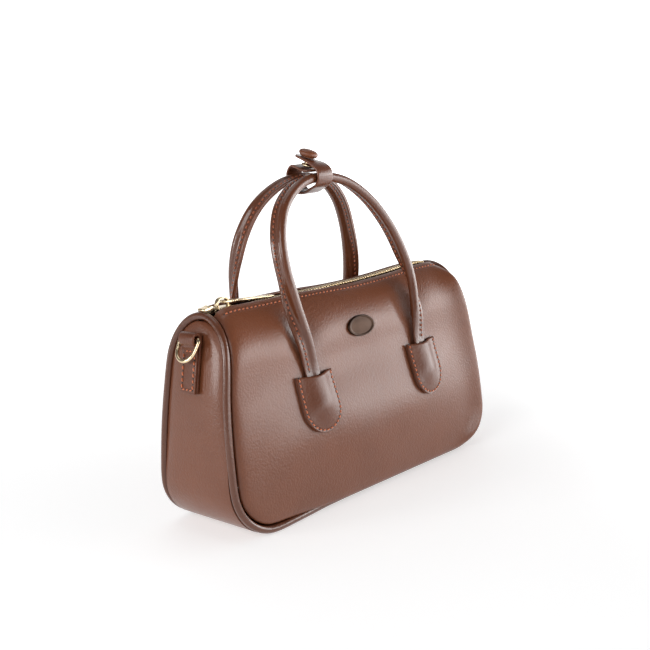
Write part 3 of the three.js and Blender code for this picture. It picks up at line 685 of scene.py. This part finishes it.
def seam_knots(side, inset, top_level):
    """Places on the seam, from the middle of the base to one crest: x, half depth and height."""
    depth, low_x, high_x = END_TUCK[side]
    turn = np.radians(np.linspace(0, 90, 7)[1:])
    x = np.concatenate([BASE_X, STRAIGHT + CORNER_RADIUS * np.sin(turn)])
    z = np.concatenate([np.full(len(BASE_X), SEAM_Z), CORNER_Z - CORNER_RADIUS * np.cos(turn)])
    tuck = BASE_TUCK + (depth - BASE_TUCK) * smooth(x, low_x, high_x)
    low = as_points(side * x, end_outline(z / SHOULDER_HEIGHT, inset)[0] - tuck, z)
    levels = np.concatenate([np.linspace(CORNER_Z / SHOULDER_HEIGHT, 0.86, 5)[1:],
                             np.linspace(1.12, top_level, 7)])
    half, height = end_outline(levels, inset)
    half = half - depth * (1 - smooth(levels, 1, 2))
    end_x = side * reach(height)
    return np.vstack([low, as_points(end_x, half, height + top_rise(end_x, levels, 0))])

right_seam, left_seam = seam_knots(1, 0, 2), seam_knots(-1, 0, 2)
loop = np.vstack([right_seam * [1, -1, 1], right_seam[::-1][1:], left_seam[1:],
                  (left_seam * [1, -1, 1])[::-1][1:-1]])
piping_path = route(loop, 1000, closed=True)
print("piping:", round(lengths(piping_path)[-1]), "mm")

# %% Ends, base and piping
END_CROWN, END_PUFF, END_PUFF_RUN, END_RIPPLE = 1, 1.8, 4, 0.25
STRIP_INSET, STRIP_TOP = 2.5, 1.94
CORD_POINTS = 20
CREASE_DEPTH, CREASE_TURN, CREASE_WIDTH = 0.13, np.radians(62), 0.2

def end_strip(count, across):
    """The seam's stations moved out by a rise, which is a soft swelling at the ends, flat on the base."""
    left, right = (route(seam_knots(side, STRIP_INSET, STRIP_TOP), count) for side in (-1, 1))
    path = np.vstack([left[::-1], right[1:]])
    way = tangents(path[:, [0, 2]])
    out = as_points(way[:, 1], -way[:, 0])[:, None]
    x, half, z = (path[:, None, k] for k in range(3))
    share = crowded(across, 1)[None]
    puff = END_PUFF * (1 - np.exp(-half * (1 - np.abs(share)) / END_PUFF_RUN))
    ripple = END_RIPPLE * puff / END_PUFF * waves(share * half + 0.4 * z, z)
    crown = END_CROWN * (1 - share**2) * half / SHOULDER_HALF_DEPTH
    climb = smooth(z, SEAM_Z, 2 * CORNER_Z)
    rise = SEAM_Z * (1 - climb) + (puff + crown + ripple) * climb
    return as_points(x + out[..., 0] * rise, share * half, np.maximum(z + out[..., 1] * rise, 0))

strip = shell(end_strip(count=210, across=41), LEATHER)
add_piece("end_and_base_strip", strip, LEATHER_FINISH, ["gusset"])

way = tangents(piping_path, closed=True)
away = piping_path - HEART
away = unit(away - (away * way).sum(-1, keepdims=True) * way)
turn = full_turn(CORD_POINTS)
crease = 1 - CREASE_DEPTH * np.exp(-((turn - CREASE_TURN) / CREASE_WIDTH)**2)
cord = circle(PIPING_RADIUS, CORD_POINTS) * crease[:, None]
piping = sweep(piping_path, away, np.cross(way, away), cord, closed=True)
add_piece("piping_cord", piping, ROLLED_FINISH, ["piping"])

# %% [markdown]
# The zip lies along the top. Each side of its tape is sewn under a panel's edge, and the metal teeth are
# clamped to the two inner edges in turn. A tooth is repeated more than a hundred times, so it is a
# simple rounded block of a few dozen faces.

# %% Zip tape and teeth
GAP = 0.3
TAPE = 0.8
TEETH_LEFT, TEETH_RIGHT, TEETH_HALF, TEETH_HEIGHT, TEETH_PITCH = -95, 101, 2.7, 2.8, 2.5
TEETH_APART, TEETH_RISE = 0.95, 0.6
TOOTH = (1.08, 3.4, TEETH_HEIGHT - 0.3)
UNDERLAP = 3.6
TOP_REACH = float(reach(CREST, SEAM_INSET))

def top_drop(x):
    """How far the top lies below its middle: puff x exp(-d / run) near the ends, less what it climbs."""
    from_end = TOP_REACH - 2 * GAP - np.abs(x)
    return PUFF * np.exp(-np.maximum(from_end, 0) / PUFF_RUN) - top_rise(x, ZIP_LEVEL, from_end)

def tape_height(distance):
    """The arch's height at a distance from the middle, under the panel's leather."""
    turn = np.arccos(np.minimum(distance, ZIP_HALF + UNDERLAP) / SHOULDER_HALF_DEPTH)
    return (SHOULDER_HEIGHT + ARCH_RISE * np.sin(turn) + PUFF - LEATHER - 2 * GAP
            + GAP * smooth(ZIP_HALF - distance, 0, ZIP_HALF))

def block(size, centre, square=0.35, rows=9, cols=16):
    """A rounded box: a sphere whose sines and cosines are raised to a small power."""
    tilt = np.linspace(-np.pi / 2, np.pi / 2, rows)[:, None]
    turn = full_turn(cols)[None]
    wide = power(np.cos(tilt), square)
    ball = as_points(wide * power(np.cos(turn), square), wide * power(np.sin(turn), square),
                     power(np.sin(tilt), square))
    return ball * np.array(size) / 2 + np.array(centre)

tape_x = (TOP_REACH - GAP) * crowded(165, 0.4)[:, None]
tape_y = np.linspace(TEETH_HALF + 0.1, ZIP_HALF + UNDERLAP, 9)[None]
tape = as_points(tape_x, -tape_y, tape_height(tape_y) - top_drop(tape_x))
front_tape = shell(tape, TAPE)
add_piece("zip_tape_front_side", front_tape, TAPE_FINISH, ["zip_tape_front"])
add_piece("zip_tape_back_side", mirrored(front_tape), TAPE_FINISH, ["zip_tape_back"])

tooth_x = np.arange(TEETH_LEFT + 0.8, TEETH_RIGHT - 0.5, TEETH_PITCH / 2)
tooth_y = np.where(np.arange(len(tooth_x)) % 2, TEETH_APART, -TEETH_APART)
TEETH_MIDDLE = float(tape_height(0)) - TAPE / 2
tooth_z = TEETH_MIDDLE - top_drop(tooth_x) + TEETH_RISE * smooth(tooth_x, -80, -50)
one_tooth = block(TOOTH, (0, 0, 0), square=0.5, rows=6, cols=8)
teeth = one_tooth[None] + as_points(tooth_x, tooth_y, tooth_z)[:, None, None]
chain = together(*[skin(tooth, wraps=True) for tooth in teeth])
add_piece("zip_teeth", chain, GOLD_FINISH, ["zip_chain"])

# %% [markdown]
# The slider is cast: two shield shaped plates joined by a post, and an arched crown on top that holds
# the puller. The puller is a long flat tongue with a loop at one end and an eye at the other, and it
# flips over its bar, so it rides on a body of its own. A small folded clip covers the zip's left end.

# %% Slider
SLIDER_X = -91
SLIDER_TOP = TEETH_MIDDLE + TEETH_HEIGHT / 2 + GAP
SLIDER_LOW = TEETH_MIDDLE - TEETH_HEIGHT / 2 - 3 * GAP
PLATE_THICK = 1.3
BAR_Z = SLIDER_TOP + PLATE_THICK + 3 - GAP

def shield(z):
    """A plate of the slider: a rounded block that narrows towards the closed teeth."""
    plate = block((12, 9, PLATE_THICK), (0, 0, 0), square=0.3, rows=13, cols=40)
    plate[..., 1] *= 1 - 0.26 * smooth(plate[..., 0], -1, 6)
    return skin(plate + [SLIDER_X, 0, z], wraps=True)

SIDEWAYS, UP = (0, 1, 0), (0, 0, 1)
crown_knots = [(-4.4, 0, 0), (-4.3, 0, 2.4), (-2.9, 0, 4.5), (0, 0, 5.2),
               (2.9, 0, 4.5), (4.3, 0, 2.4), (4.4, 0, 0)]
crown_path = route(crown_knots, 60) + [SLIDER_X, 0, SLIDER_TOP + PLATE_THICK - 0.2]
crown_over = np.cross(SIDEWAYS, tangents(crown_path))
crown = sweep(crown_path, SIDEWAYS, crown_over, rounded_strip(3, 1.1, 0.4))
post = skin(block((1.4, 2, 4.4), (SLIDER_X - 5, 0, TEETH_MIDDLE), 0.4), wraps=True)
slider = together(shield(SLIDER_TOP + PLATE_THICK / 2), shield(SLIDER_LOW - PLATE_THICK / 2), crown, post)
add_piece("slider", slider, GOLD_FINISH, ["zip_slider"])

# %% Puller and clip
PULLER_X, PULLER_TILT, PULLER_THICK = -90, np.radians(4.5), 1.5
TONGUE_FROM, TONGUE_TO, TONGUE_HALF, TONGUE_FLARE = 6.6, 35.5, 2.3, 0.7

def flat_ring(length, width, middle):
    """A closed loop of flat wire round an oblong: a superellipse carried by a rounded strip."""
    turn = full_turn(64)
    path = as_points(length / 2 * power(np.cos(turn), 0.5), width / 2 * power(np.sin(turn), 0.5), 0)
    across = np.cross(tangents(path, closed=True), UP)
    wire = rounded_strip(PULLER_THICK, PULLER_THICK, 0.35)
    return sweep(path + [middle, 0, 0], across, UP, wire, closed=True)

def on_bar(points):
    """From the puller's own place, flat along x, to the slider's bar, tilted down."""
    x, y, z = points.T
    x, z = tipped(x, z, -PULLER_TILT)
    return as_points(PULLER_X + x, y, BAR_Z + z)

tongue_x = np.linspace(TONGUE_FROM, TONGUE_TO, 50)
flare = np.exp(-((tongue_x - TONGUE_FROM) / 1.6)**2) + smooth(tongue_x, TONGUE_TO - 4.5, TONGUE_TO)
tongue_half = (TONGUE_HALF + TONGUE_FLARE * flare)[:, None]
strip = rounded_strip(1, PULLER_THICK, 0.45)
tongue_section = as_points(np.sign(strip[:, 0]) * (tongue_half - 0.5 + np.abs(strip[:, 0])), strip[:, 1])
tongue = sweep(np.outer(tongue_x, (1, 0, 0)), SIDEWAYS, UP, tongue_section)
stop = skin(block((PULLER_THICK, 4.6, PULLER_THICK), (33.6, 0, 0), 0.5), wraps=True)
puller = together(tongue, flat_ring(7.2, 4.9, 2.9), flat_ring(4.6, 4.8, 37), stop)
add_piece("puller_tongue", placed(puller, on_bar), GOLD_FINISH, ["zip_puller"], "puller")

clip_outline = route([
    (-107.3, 131.9), (-107.1, 132.9), (-103.5, 133.5), (-101.2, 134.1), (-100.6, 133.6),
    (-100.5, 131), (-100.6, 129.9), (-102.6, 129.9), (-103.5, 131.3), (-105.5, 131.7)], 60, closed=True)
clip_y = np.array([-3.25, -3.2, -3.0, 3.0, 3.2, 3.25])
clip_scale = np.array([0.86, 0.95, 1, 1, 0.95, 0.86])[:, None, None]
clip_middle = np.array([-103.5, 132.2])
clip_section = clip_middle + (clip_outline - clip_middle) * clip_scale
clip = sweep(np.outer(clip_y, SIDEWAYS), (1, 0, 0), UP, clip_section)
add_piece("clip", clip, GOLD_FINISH, ["zip_clip"])

# %% [markdown]
# Each handle is a strip of leather folded round a cord and sewn together along a flange. At the patches
# the flange points outwards; higher up it turns to face the other handle. The section is a circle
# with a flat tail, and it turns as it is carried along the arch.

# %% Handles
CORD_RADIUS = 3
PRESSED, ROUND_FROM = 0.42, 112
PATCH_X, PATCH_TOP = 52, 87
SEWN_FROM, SEWN_OUT, SEWN_UP = 88, 5.2, 1.1
RAW_FROM = 7.75
EVEN_LEAN = 0.34
FLANGE_FIRST, FLANGE_LAST, FLANGE_LOW = np.radians(4), np.radians(86), 100
ARCH_TOP_X, ARCH_TOP_Z = -12, 200.8
ARCH_ROUTE = np.array([
    (-49.4, 70.5), (-49.4, 86.8), (-52.4, 106.8), (-57.4, 130.8), (-60, 150.8), (-58, 168.8),
    (-49, 185.8), (-32, 197.3), (ARCH_TOP_X, ARCH_TOP_Z), (9.6, 196.5), (27, 184.4), (40, 167),
    (48.4, 147.2), (52, 128.8), (51, 106.8), (49.4, 86.8), (49.4, 70.5)])

def panel_at(x, z):
    """Outer face of the front panel straight in front of a place, closing in on its height."""
    climb = np.interp(z, PROFILE[:, 1], CLIMB)
    share = x / reach(z, SEAM_INSET)
    for _ in range(12):
        climb = np.clip(climb + z - panel(share, climb)[..., 2], 0, CLIMB[-1])
    return panel(share, climb)

def handle_path(top_y, inset, count):
    """The arch seen from the front, leaning over: part of the lean is even, the rest comes high up."""
    x, z = ARCH_ROUTE.T
    lift = 4 * GAP + CORD_RADIUS * PRESSED
    mouth = panel_at(PATCH_X, PATCH_TOP)[1] - lift
    climb = (z - PATCH_TOP) / (ARCH_TOP_Z - PATCH_TOP)
    lean = EVEN_LEAN * climb + (1 - EVEN_LEAN) * climb**2
    y = np.where(climb <= 0, panel_at(x, z)[:, 1] - lift, mouth + (top_y - mouth) * lean)
    right_leg = smooth(x, ARCH_TOP_X, PATCH_X) * smooth(z, SEWN_FROM, 120)
    return route(as_points(x - inset * right_leg, y, z), count)

def handle_section():
    """Half of the outline from the raw edge round to the back of the cord, then its mirror image."""
    tail = np.array([
        (7.8, 0.0), (8.02, 0.3), (8.1, 0.72), (7.98, 1.08), (7.6, 1.27), (7.0, 1.3), (6.1, 1.24),
        (SEWN_OUT, SEWN_UP), (4.5, 1.2), (3.9, 1.22), (3.4, 1.3), (2.9, 1.52), (2.5, 1.8)])
    turn = np.radians(np.linspace(42, 180, 15))
    half = np.vstack([tail, CORD_RADIUS * as_points(np.cos(turn), np.sin(turn))])
    return np.vstack([half, half[1:-1][::-1] * [1, -1]])

def handle_axes(path, turned_at):
    """Directions of the flange and across it: outwards at the patch, eased round to the other handle."""
    way = tangents(path)
    outwards = unit(np.cross(way, SIDEWAYS))
    inwards = np.cross(outwards, way)
    eased = smooth(path[:, 2, None], FLANGE_LOW, turned_at)
    return tipped(outwards, inwards, -(FLANGE_FIRST + (FLANGE_LAST - FLANGE_FIRST) * eased))

def handle(top_y, inset, turned_at):
    """The section along the arch, pressed flat at the patches, and its stitches on both faces."""
    path = handle_path(top_y, inset, 260)
    flange_way, face_way = handle_axes(path, turned_at)
    thin = PRESSED + (1 - PRESSED) * smooth(path[:, 2, None], PATCH_TOP, ROUND_FROM)
    along, across = handle_section().T
    edge = np.where(along > RAW_FROM, 1.0, 0.0)
    body = sweep(path, flange_way, face_way, as_points(along, across * thin), edge)
    sewn = path[:, 2] > SEWN_FROM
    seam = path + SEWN_OUT * flange_way
    up = SEWN_UP * thin * face_way
    rows = [stitch_row((seam + side * up)[sewn], side * face_way[sewn]) for side in (1, -1)]
    return body, together(*rows)

front_roll, front_row = handle(top_y=-10.4, inset=0, turned_at=150)
back_roll, back_row = map(mirrored, handle(top_y=-6.2, inset=2.6, turned_at=170))
add_piece("front_handle_roll", front_roll, ROLLED_FINISH, ["front_handle"])
add_piece("back_handle_roll", back_roll, ROLLED_FINISH, ["back_handle"])
add_piece("handle_stitches", together(front_row, back_row), BROWN_THREAD_FINISH)

# %% [markdown]
# A U-shaped patch is sewn over each handle end. It lies flat on the panel round its edge and rises in a
# hump over the cord, so it is the panel's own surface moved outwards.

# %% Patches
PATCH_HALF, PATCH_HEIGHT, PATCH_THICK = 15, 35.4, 2.2
PATCH_SHIFT, PATCH_DIP = 1.2, 0.7
BEND = PATCH_TOP - PATCH_HEIGHT + PATCH_HALF
HUMP, HUMP_REACH = 4.5, 15.5
STITCH_INSET, GROOVE, GROOVE_WIDTH = 1.5, 0.28, 0.55
PATCH_PITCH = 3.1

def patch_face(middle, side, z):
    """The panel moved out by the patch's thickness and a cosine hump, less a groove under the stitches."""
    place = panel_at(middle + PATCH_SHIFT + side, z)
    from_handle = np.abs(side + PATCH_SHIFT + np.sign(middle))
    hump = 0.5 + 0.5 * np.cos(np.pi * np.minimum(from_handle / HUMP_REACH, 1))
    run = smooth(z, BEND - PATCH_HALF, BEND + 0.3 * PATCH_HALF)
    inside = PATCH_HALF - np.where(z > BEND, np.abs(side), np.hypot(side, z - BEND))
    groove = GROOVE * np.exp(-((inside - STITCH_INSET) / GROOVE_WIDTH)**2)
    out = GAP + PATCH_THICK + HUMP * hump * run - groove
    return place - out[..., None] * SIDEWAYS

def patch(middle):
    """Rows from the top edge, which dips in the middle, down to the round tip, and the stitches."""
    turn = np.radians(np.linspace(0, 86, 18)[1:])
    z = np.concatenate([np.linspace(PATCH_TOP, BEND, 16), BEND - PATCH_HALF * np.sin(turn)])[:, None]
    half = np.concatenate([np.full(16, PATCH_HALF), PATCH_HALF * np.cos(turn)])[:, None]
    share = crowded(41, 0.4)[None]
    dip = PATCH_DIP * (1 - share**2) * smooth(z, PATCH_TOP - 9, PATCH_TOP)
    leather = shell(patch_face(middle, share * half, z - dip), PATCH_THICK, raw=1.0)
    sewn = PATCH_HALF - STITCH_INSET
    turn = np.linspace(0, np.pi, 60)
    row_x = np.concatenate([[-sewn, -sewn], -sewn * np.cos(turn), [sewn, sewn]])
    leg_z = [PATCH_TOP - 0.6, BEND + 4]
    row_z = np.concatenate([leg_z, BEND - sewn * np.sin(turn), leg_z[::-1]])
    path = patch_face(middle, *evenly(as_points(row_x, row_z), 120).T)
    return leather, stitch_row(path, unit(np.array([0, -1, 0.05])), PATCH_PITCH)

left_patch, left_row = patch(-PATCH_X)
right_patch, right_row = patch(PATCH_X)
add_piece("left_front_patch", left_patch, PATCH_FINISH, ["front_left_patch"])
add_piece("right_front_patch", right_patch, PATCH_FINISH, ["front_right_patch"])
add_piece("left_back_patch", mirrored(left_patch), PATCH_FINISH, ["back_left_patch"])
add_piece("right_back_patch", mirrored(right_patch), PATCH_FINISH, ["back_right_patch"])
rows = together(left_row, right_row)
add_piece("patch_stitches", together(rows, mirrored(rows)), THREAD_FINISH)

# %% [markdown]
# A short keeper strap holds the two handles together. It goes once round both of them and closes with a
# snap under a leather covered stud. It is a strip with round edges and round ends, carried along a
# path that was drawn from the end of the bag.

# %% Keeper strap
KEEPER_X, KEEPER_WIDTH, KEEPER_THICK = -12.6, 13.5, 1.6
KEEPER_ROUTE = np.array([
    (6.6, 214.6), (-2, 211.6), (-10, 208.6), (-14.2, 205.4), (-15.4, 201), (-13.4, 196.8),
    (-8, 194), (-1.5, 191.4), (5.5, 192.4), (10.6, 198), (11.2, 204), (7.6, 208.2),
    (2.8, 207.2), (-2.6, 205.2), (-8, 204.9)])
KEEPER_COUNT, KEEPER_TIP = 260, 5.5
BANK, FRONT_RISE = np.radians(9), np.radians(18)

def keeper():
    """The strip, banked at its upper end, with its width drawn in as a half ellipse at both ends."""
    path = route(as_points(KEEPER_X, *KEEPER_ROUTE.T), KEEPER_COUNT)
    share = np.linspace(0, 1, KEEPER_COUNT)
    bank = BANK * (1 - smooth(share, 0.05, 0.25))[:, None]
    along_bag = np.array([1, 0, 0])
    across, over = tipped(along_bag, np.cross(tangents(path), along_bag), bank)
    from_end = np.minimum(share, 1 - share) * lengths(path)[-1]
    drawn = np.sqrt(1 - (1 - np.clip((from_end + 0.05) / KEEPER_TIP, 0, 1))**2)
    strip = rounded_strip(KEEPER_WIDTH, KEEPER_THICK, 0.7)
    section = strip[None] * as_points(drawn, 1)[:, None]
    edge = smooth(np.abs(strip[:, 0]), KEEPER_WIDTH / 2 - 0.6, KEEPER_WIDTH / 2 - 0.1)
    return sweep(path, across, over, section, edge)

add_piece("keeper_band", keeper(), ROLLED_FINISH, ["keeper_strap"])

# %% Stud and snap
def turned(profile, count=48):
    """A profile of radius and height, carried round the upright axis."""
    turn = full_turn(count)
    radius, height = np.asarray(profile, float).T[..., None]
    return as_points(radius * np.cos(turn), radius * np.sin(turn), height)

def on_keeper(points, y, z):
    """Tipped to the right and to the front as the strap is, then moved to its place."""
    a, b, c = np.moveaxis(points, -1, 0)
    a, c = tipped(a, c, -BANK)
    b, c = tipped(b, c, FRONT_RISE)
    return as_points(a + KEEPER_X, b + y, c + z)

dome = np.radians(np.linspace(-60, 90, 22))
stud_radius = 5.5 * power(np.cos(dome), 0.7) + 0.75 * np.cos(dome)
stud_profile = np.vstack([[(0, 0.05), (4.4, 0.05)], as_points(stud_radius, 2.5 + 2.6 * np.sin(dome))])
stud_profile[-1, 0] = 0
snap_profile = route([(0, 0), (3.9, 0.05), (4.2, 0.5), (3.8, 1.3), (2.7, 1.6), (2.5, 2.9), (0, 3.0)], 40)
stud = skin(on_keeper(turned(stud_profile), y=-1.2, z=213.1), wraps=True)
snap = skin(on_keeper(turned(snap_profile), y=-0.8, z=207.6), wraps=True)
add_piece("stud", stud, LEATHER_FINISH, ["keeper_stud"])
add_piece("snap", snap, GOLD_FINISH, ["keeper_snap"])

# %% [markdown]
# A tab at each end holds a D-ring for a shoulder strap. It is a strip folded over the ring's straight
# bar and sewn to itself and to the end. The ring swings on that bar, so it rides on its own body.

# %% Tabs
TAB_FOOT, TAB_HEIGHT, TAB_WIDTH, TAB_THICK = 86, 31.5, 12.6, 1.75
TAB_FOLD = [
    (2.7, 0, 0.1), (2.7, 0, 12), (2.8, 0, 22), (4.0, 0, 26.5), (6.1, 0, 29), (6.7, 0, 31.5),
    (5.9, 0, 33.6), (3.8, 0, 34.4), (1.75, 0, 33.6), (0.95, 0, 31.5), (0.92, 0, 26),
    (0.92, 0, 12), (0.92, 0, 0.1)]
TAB_ROW = np.array([(3.65, -4.7, 23), (3.6, -4.7, 2.0), (3.6, 4.7, 2.0), (3.65, 4.7, 23)])
TAB_CROSS_ROW, CROSS_PITCH = np.array([(4.0, -2.8, 24.2), (4.0, 2.8, 24.2)]), 2.8
EYE = 3.8

def outside(z):
    """Distance from the middle of the bag to the outside of its crowned end."""
    return float(reach(z)) + END_PUFF + END_CROWN + 2 * GAP

TAB_X = outside(TAB_FOOT)
TAB_LEAN = np.arctan2(TAB_X - outside(TAB_FOOT + TAB_HEIGHT), TAB_HEIGHT)

def on_end(points):
    """From the tab's own place, upright at its foot, to the leaning right end of the bag."""
    a, b, c = np.moveaxis(points, -1, 0)
    a, c = tipped(a, c, TAB_LEAN)
    return as_points(TAB_X + a, b, TAB_FOOT + c)

def to_left(shape):
    """A skin of the right end, turned half round to the left end."""
    return placed(shape, lambda points: points * [-1, -1, 1])

fold = route(TAB_FOLD, 150)
strip = rounded_strip(TAB_WIDTH, TAB_THICK, 0.5)
edge = smooth(np.abs(strip[:, 0]), TAB_WIDTH / 2 - 0.5, TAB_WIDTH / 2 - 0.2)
tab = placed(sweep(fold, SIDEWAYS, np.cross(tangents(fold), SIDEWAYS), strip, edge), on_end)
tab_out = (np.cos(TAB_LEAN), 0, np.sin(TAB_LEAN))
tab_row = together(*[stitch_row(on_end(TAB_ROW[k:k + 2]), tab_out) for k in range(3)],
                   stitch_row(on_end(TAB_CROSS_ROW), tab_out, CROSS_PITCH))
add_piece("right_ring_tab", tab, PATCH_FINISH, ["right_tab"])
add_piece("left_ring_tab", to_left(tab), PATCH_FINISH, ["left_tab"])
add_piece("tab_stitches", together(tab_row, to_left(tab_row)), THREAD_FINISH)

# %% Rings
RING_WIRE, RING_HALF, RING_STRAIGHT, RING_TILT = 1.15, 7.6, 6.2, np.radians(19)
bow = np.radians(np.linspace(0, 180, 9))
ring_knots = np.vstack([
    [(0, y, 0) for y in (-3.8, 0, 3.8)], [(0, RING_HALF, -0.6)],
    as_points(0, RING_HALF * np.cos(bow), -RING_STRAIGHT - RING_HALF * np.sin(bow)),
    [(0, -RING_HALF, -0.6)]])
flat, across, down = route(ring_knots, 120, closed=True).T
out, up = tipped(flat, down, RING_TILT)
ring_path = as_points(EYE + out, across, TAB_HEIGHT + up)
level_out = (np.cos(RING_TILT), 0, np.sin(RING_TILT))
ring_over = np.cross(tangents(ring_path, closed=True), level_out)
ring = placed(sweep(ring_path, level_out, ring_over, circle(RING_WIRE, 16), closed=True), on_end)
add_piece("right_d_ring", ring, GOLD_FINISH, ["right_ring"], "right_ring_body")
add_piece("left_d_ring", to_left(ring), GOLD_FINISH, ["left_ring"], "left_ring_body")

# %% [markdown]
# A plain oval plate of aged bronze sits on the front, under the zip. It follows the panel's curve and
# has a raised rim round a slightly domed middle.

# %% Plate
PLATE_X, PLATE_Z, PLATE_LONG, PLATE_HIGH, PLATE_DEEP = -1, 106.6, 12.3, 6.5, 1.2
rim = np.array([
    (0, 0.95), (0.3, 0.93), (0.6, 0.85), (0.74, 0.76), (0.79, 0.78), (0.84, 1.08), (0.9, 1.2),
    (0.95, 1.16), (0.985, 0.95), (1, 0.6), (0.99, 0.2), (0.96, 0.02), (0.5, 0.0), (0, 0.0)])
turn = full_turn(72)
plate_x = PLATE_X + PLATE_LONG * rim[:, :1] * np.cos(turn)
plate_z = PLATE_Z + PLATE_HIGH * rim[:, :1] * np.sin(turn)
plate = panel_at(plate_x, plate_z)
plate[..., 1] -= GAP + PLATE_DEEP * rim[:, 1:]
add_piece("oval_plate", skin(plate, wraps=True), BRONZE_FINISH, ["front_plate"])

# %% [markdown]
# Last comes the floor, a wide white disc that catches the bag's soft shadow. It glows, more to the back
# and at the right in front, so that it meets the white wall without a line and shows as a pale gleam
# in the leather. It is not attached to the bag.

# %% Floor
FLOOR_Z = -0.02
floor_profile = [(radius, FLOOR_Z) for radius in (0, 500, 2000, 12000)]
floor_points, floor_quads = skin(turned(floor_profile, 96), wraps=True)[:2]
floor_mesh = bpy.data.meshes.new("floor")
floor_mesh.from_pydata((floor_points * MM).tolist(), [], floor_quads.tolist())
white = new_finish("white_floor", Roughness=0.7, Emission_Strength=1.0)
to_back = white.ease(white.along(white.place(), WALL_WAY), 0, 0.9)
to_right = white.ease(white.along(white.place(), WINDOW_WAY), 0.12, 0.7)
glow = white.blend(to_back, grey(0.5), grey(1))
white.set(
    Base_Color=white.blend(white.noise(3), grey(0.72), grey(0.76)),
    Emission_Color=white.blend(to_right, glow, grey(3)),
)
floor_mesh.materials.append(white.owner)
floor = bpy.data.objects.new("floor", floor_mesh)
scene.collection.objects.link(floor)
print("floor:", len(floor_mesh.polygons), "faces")
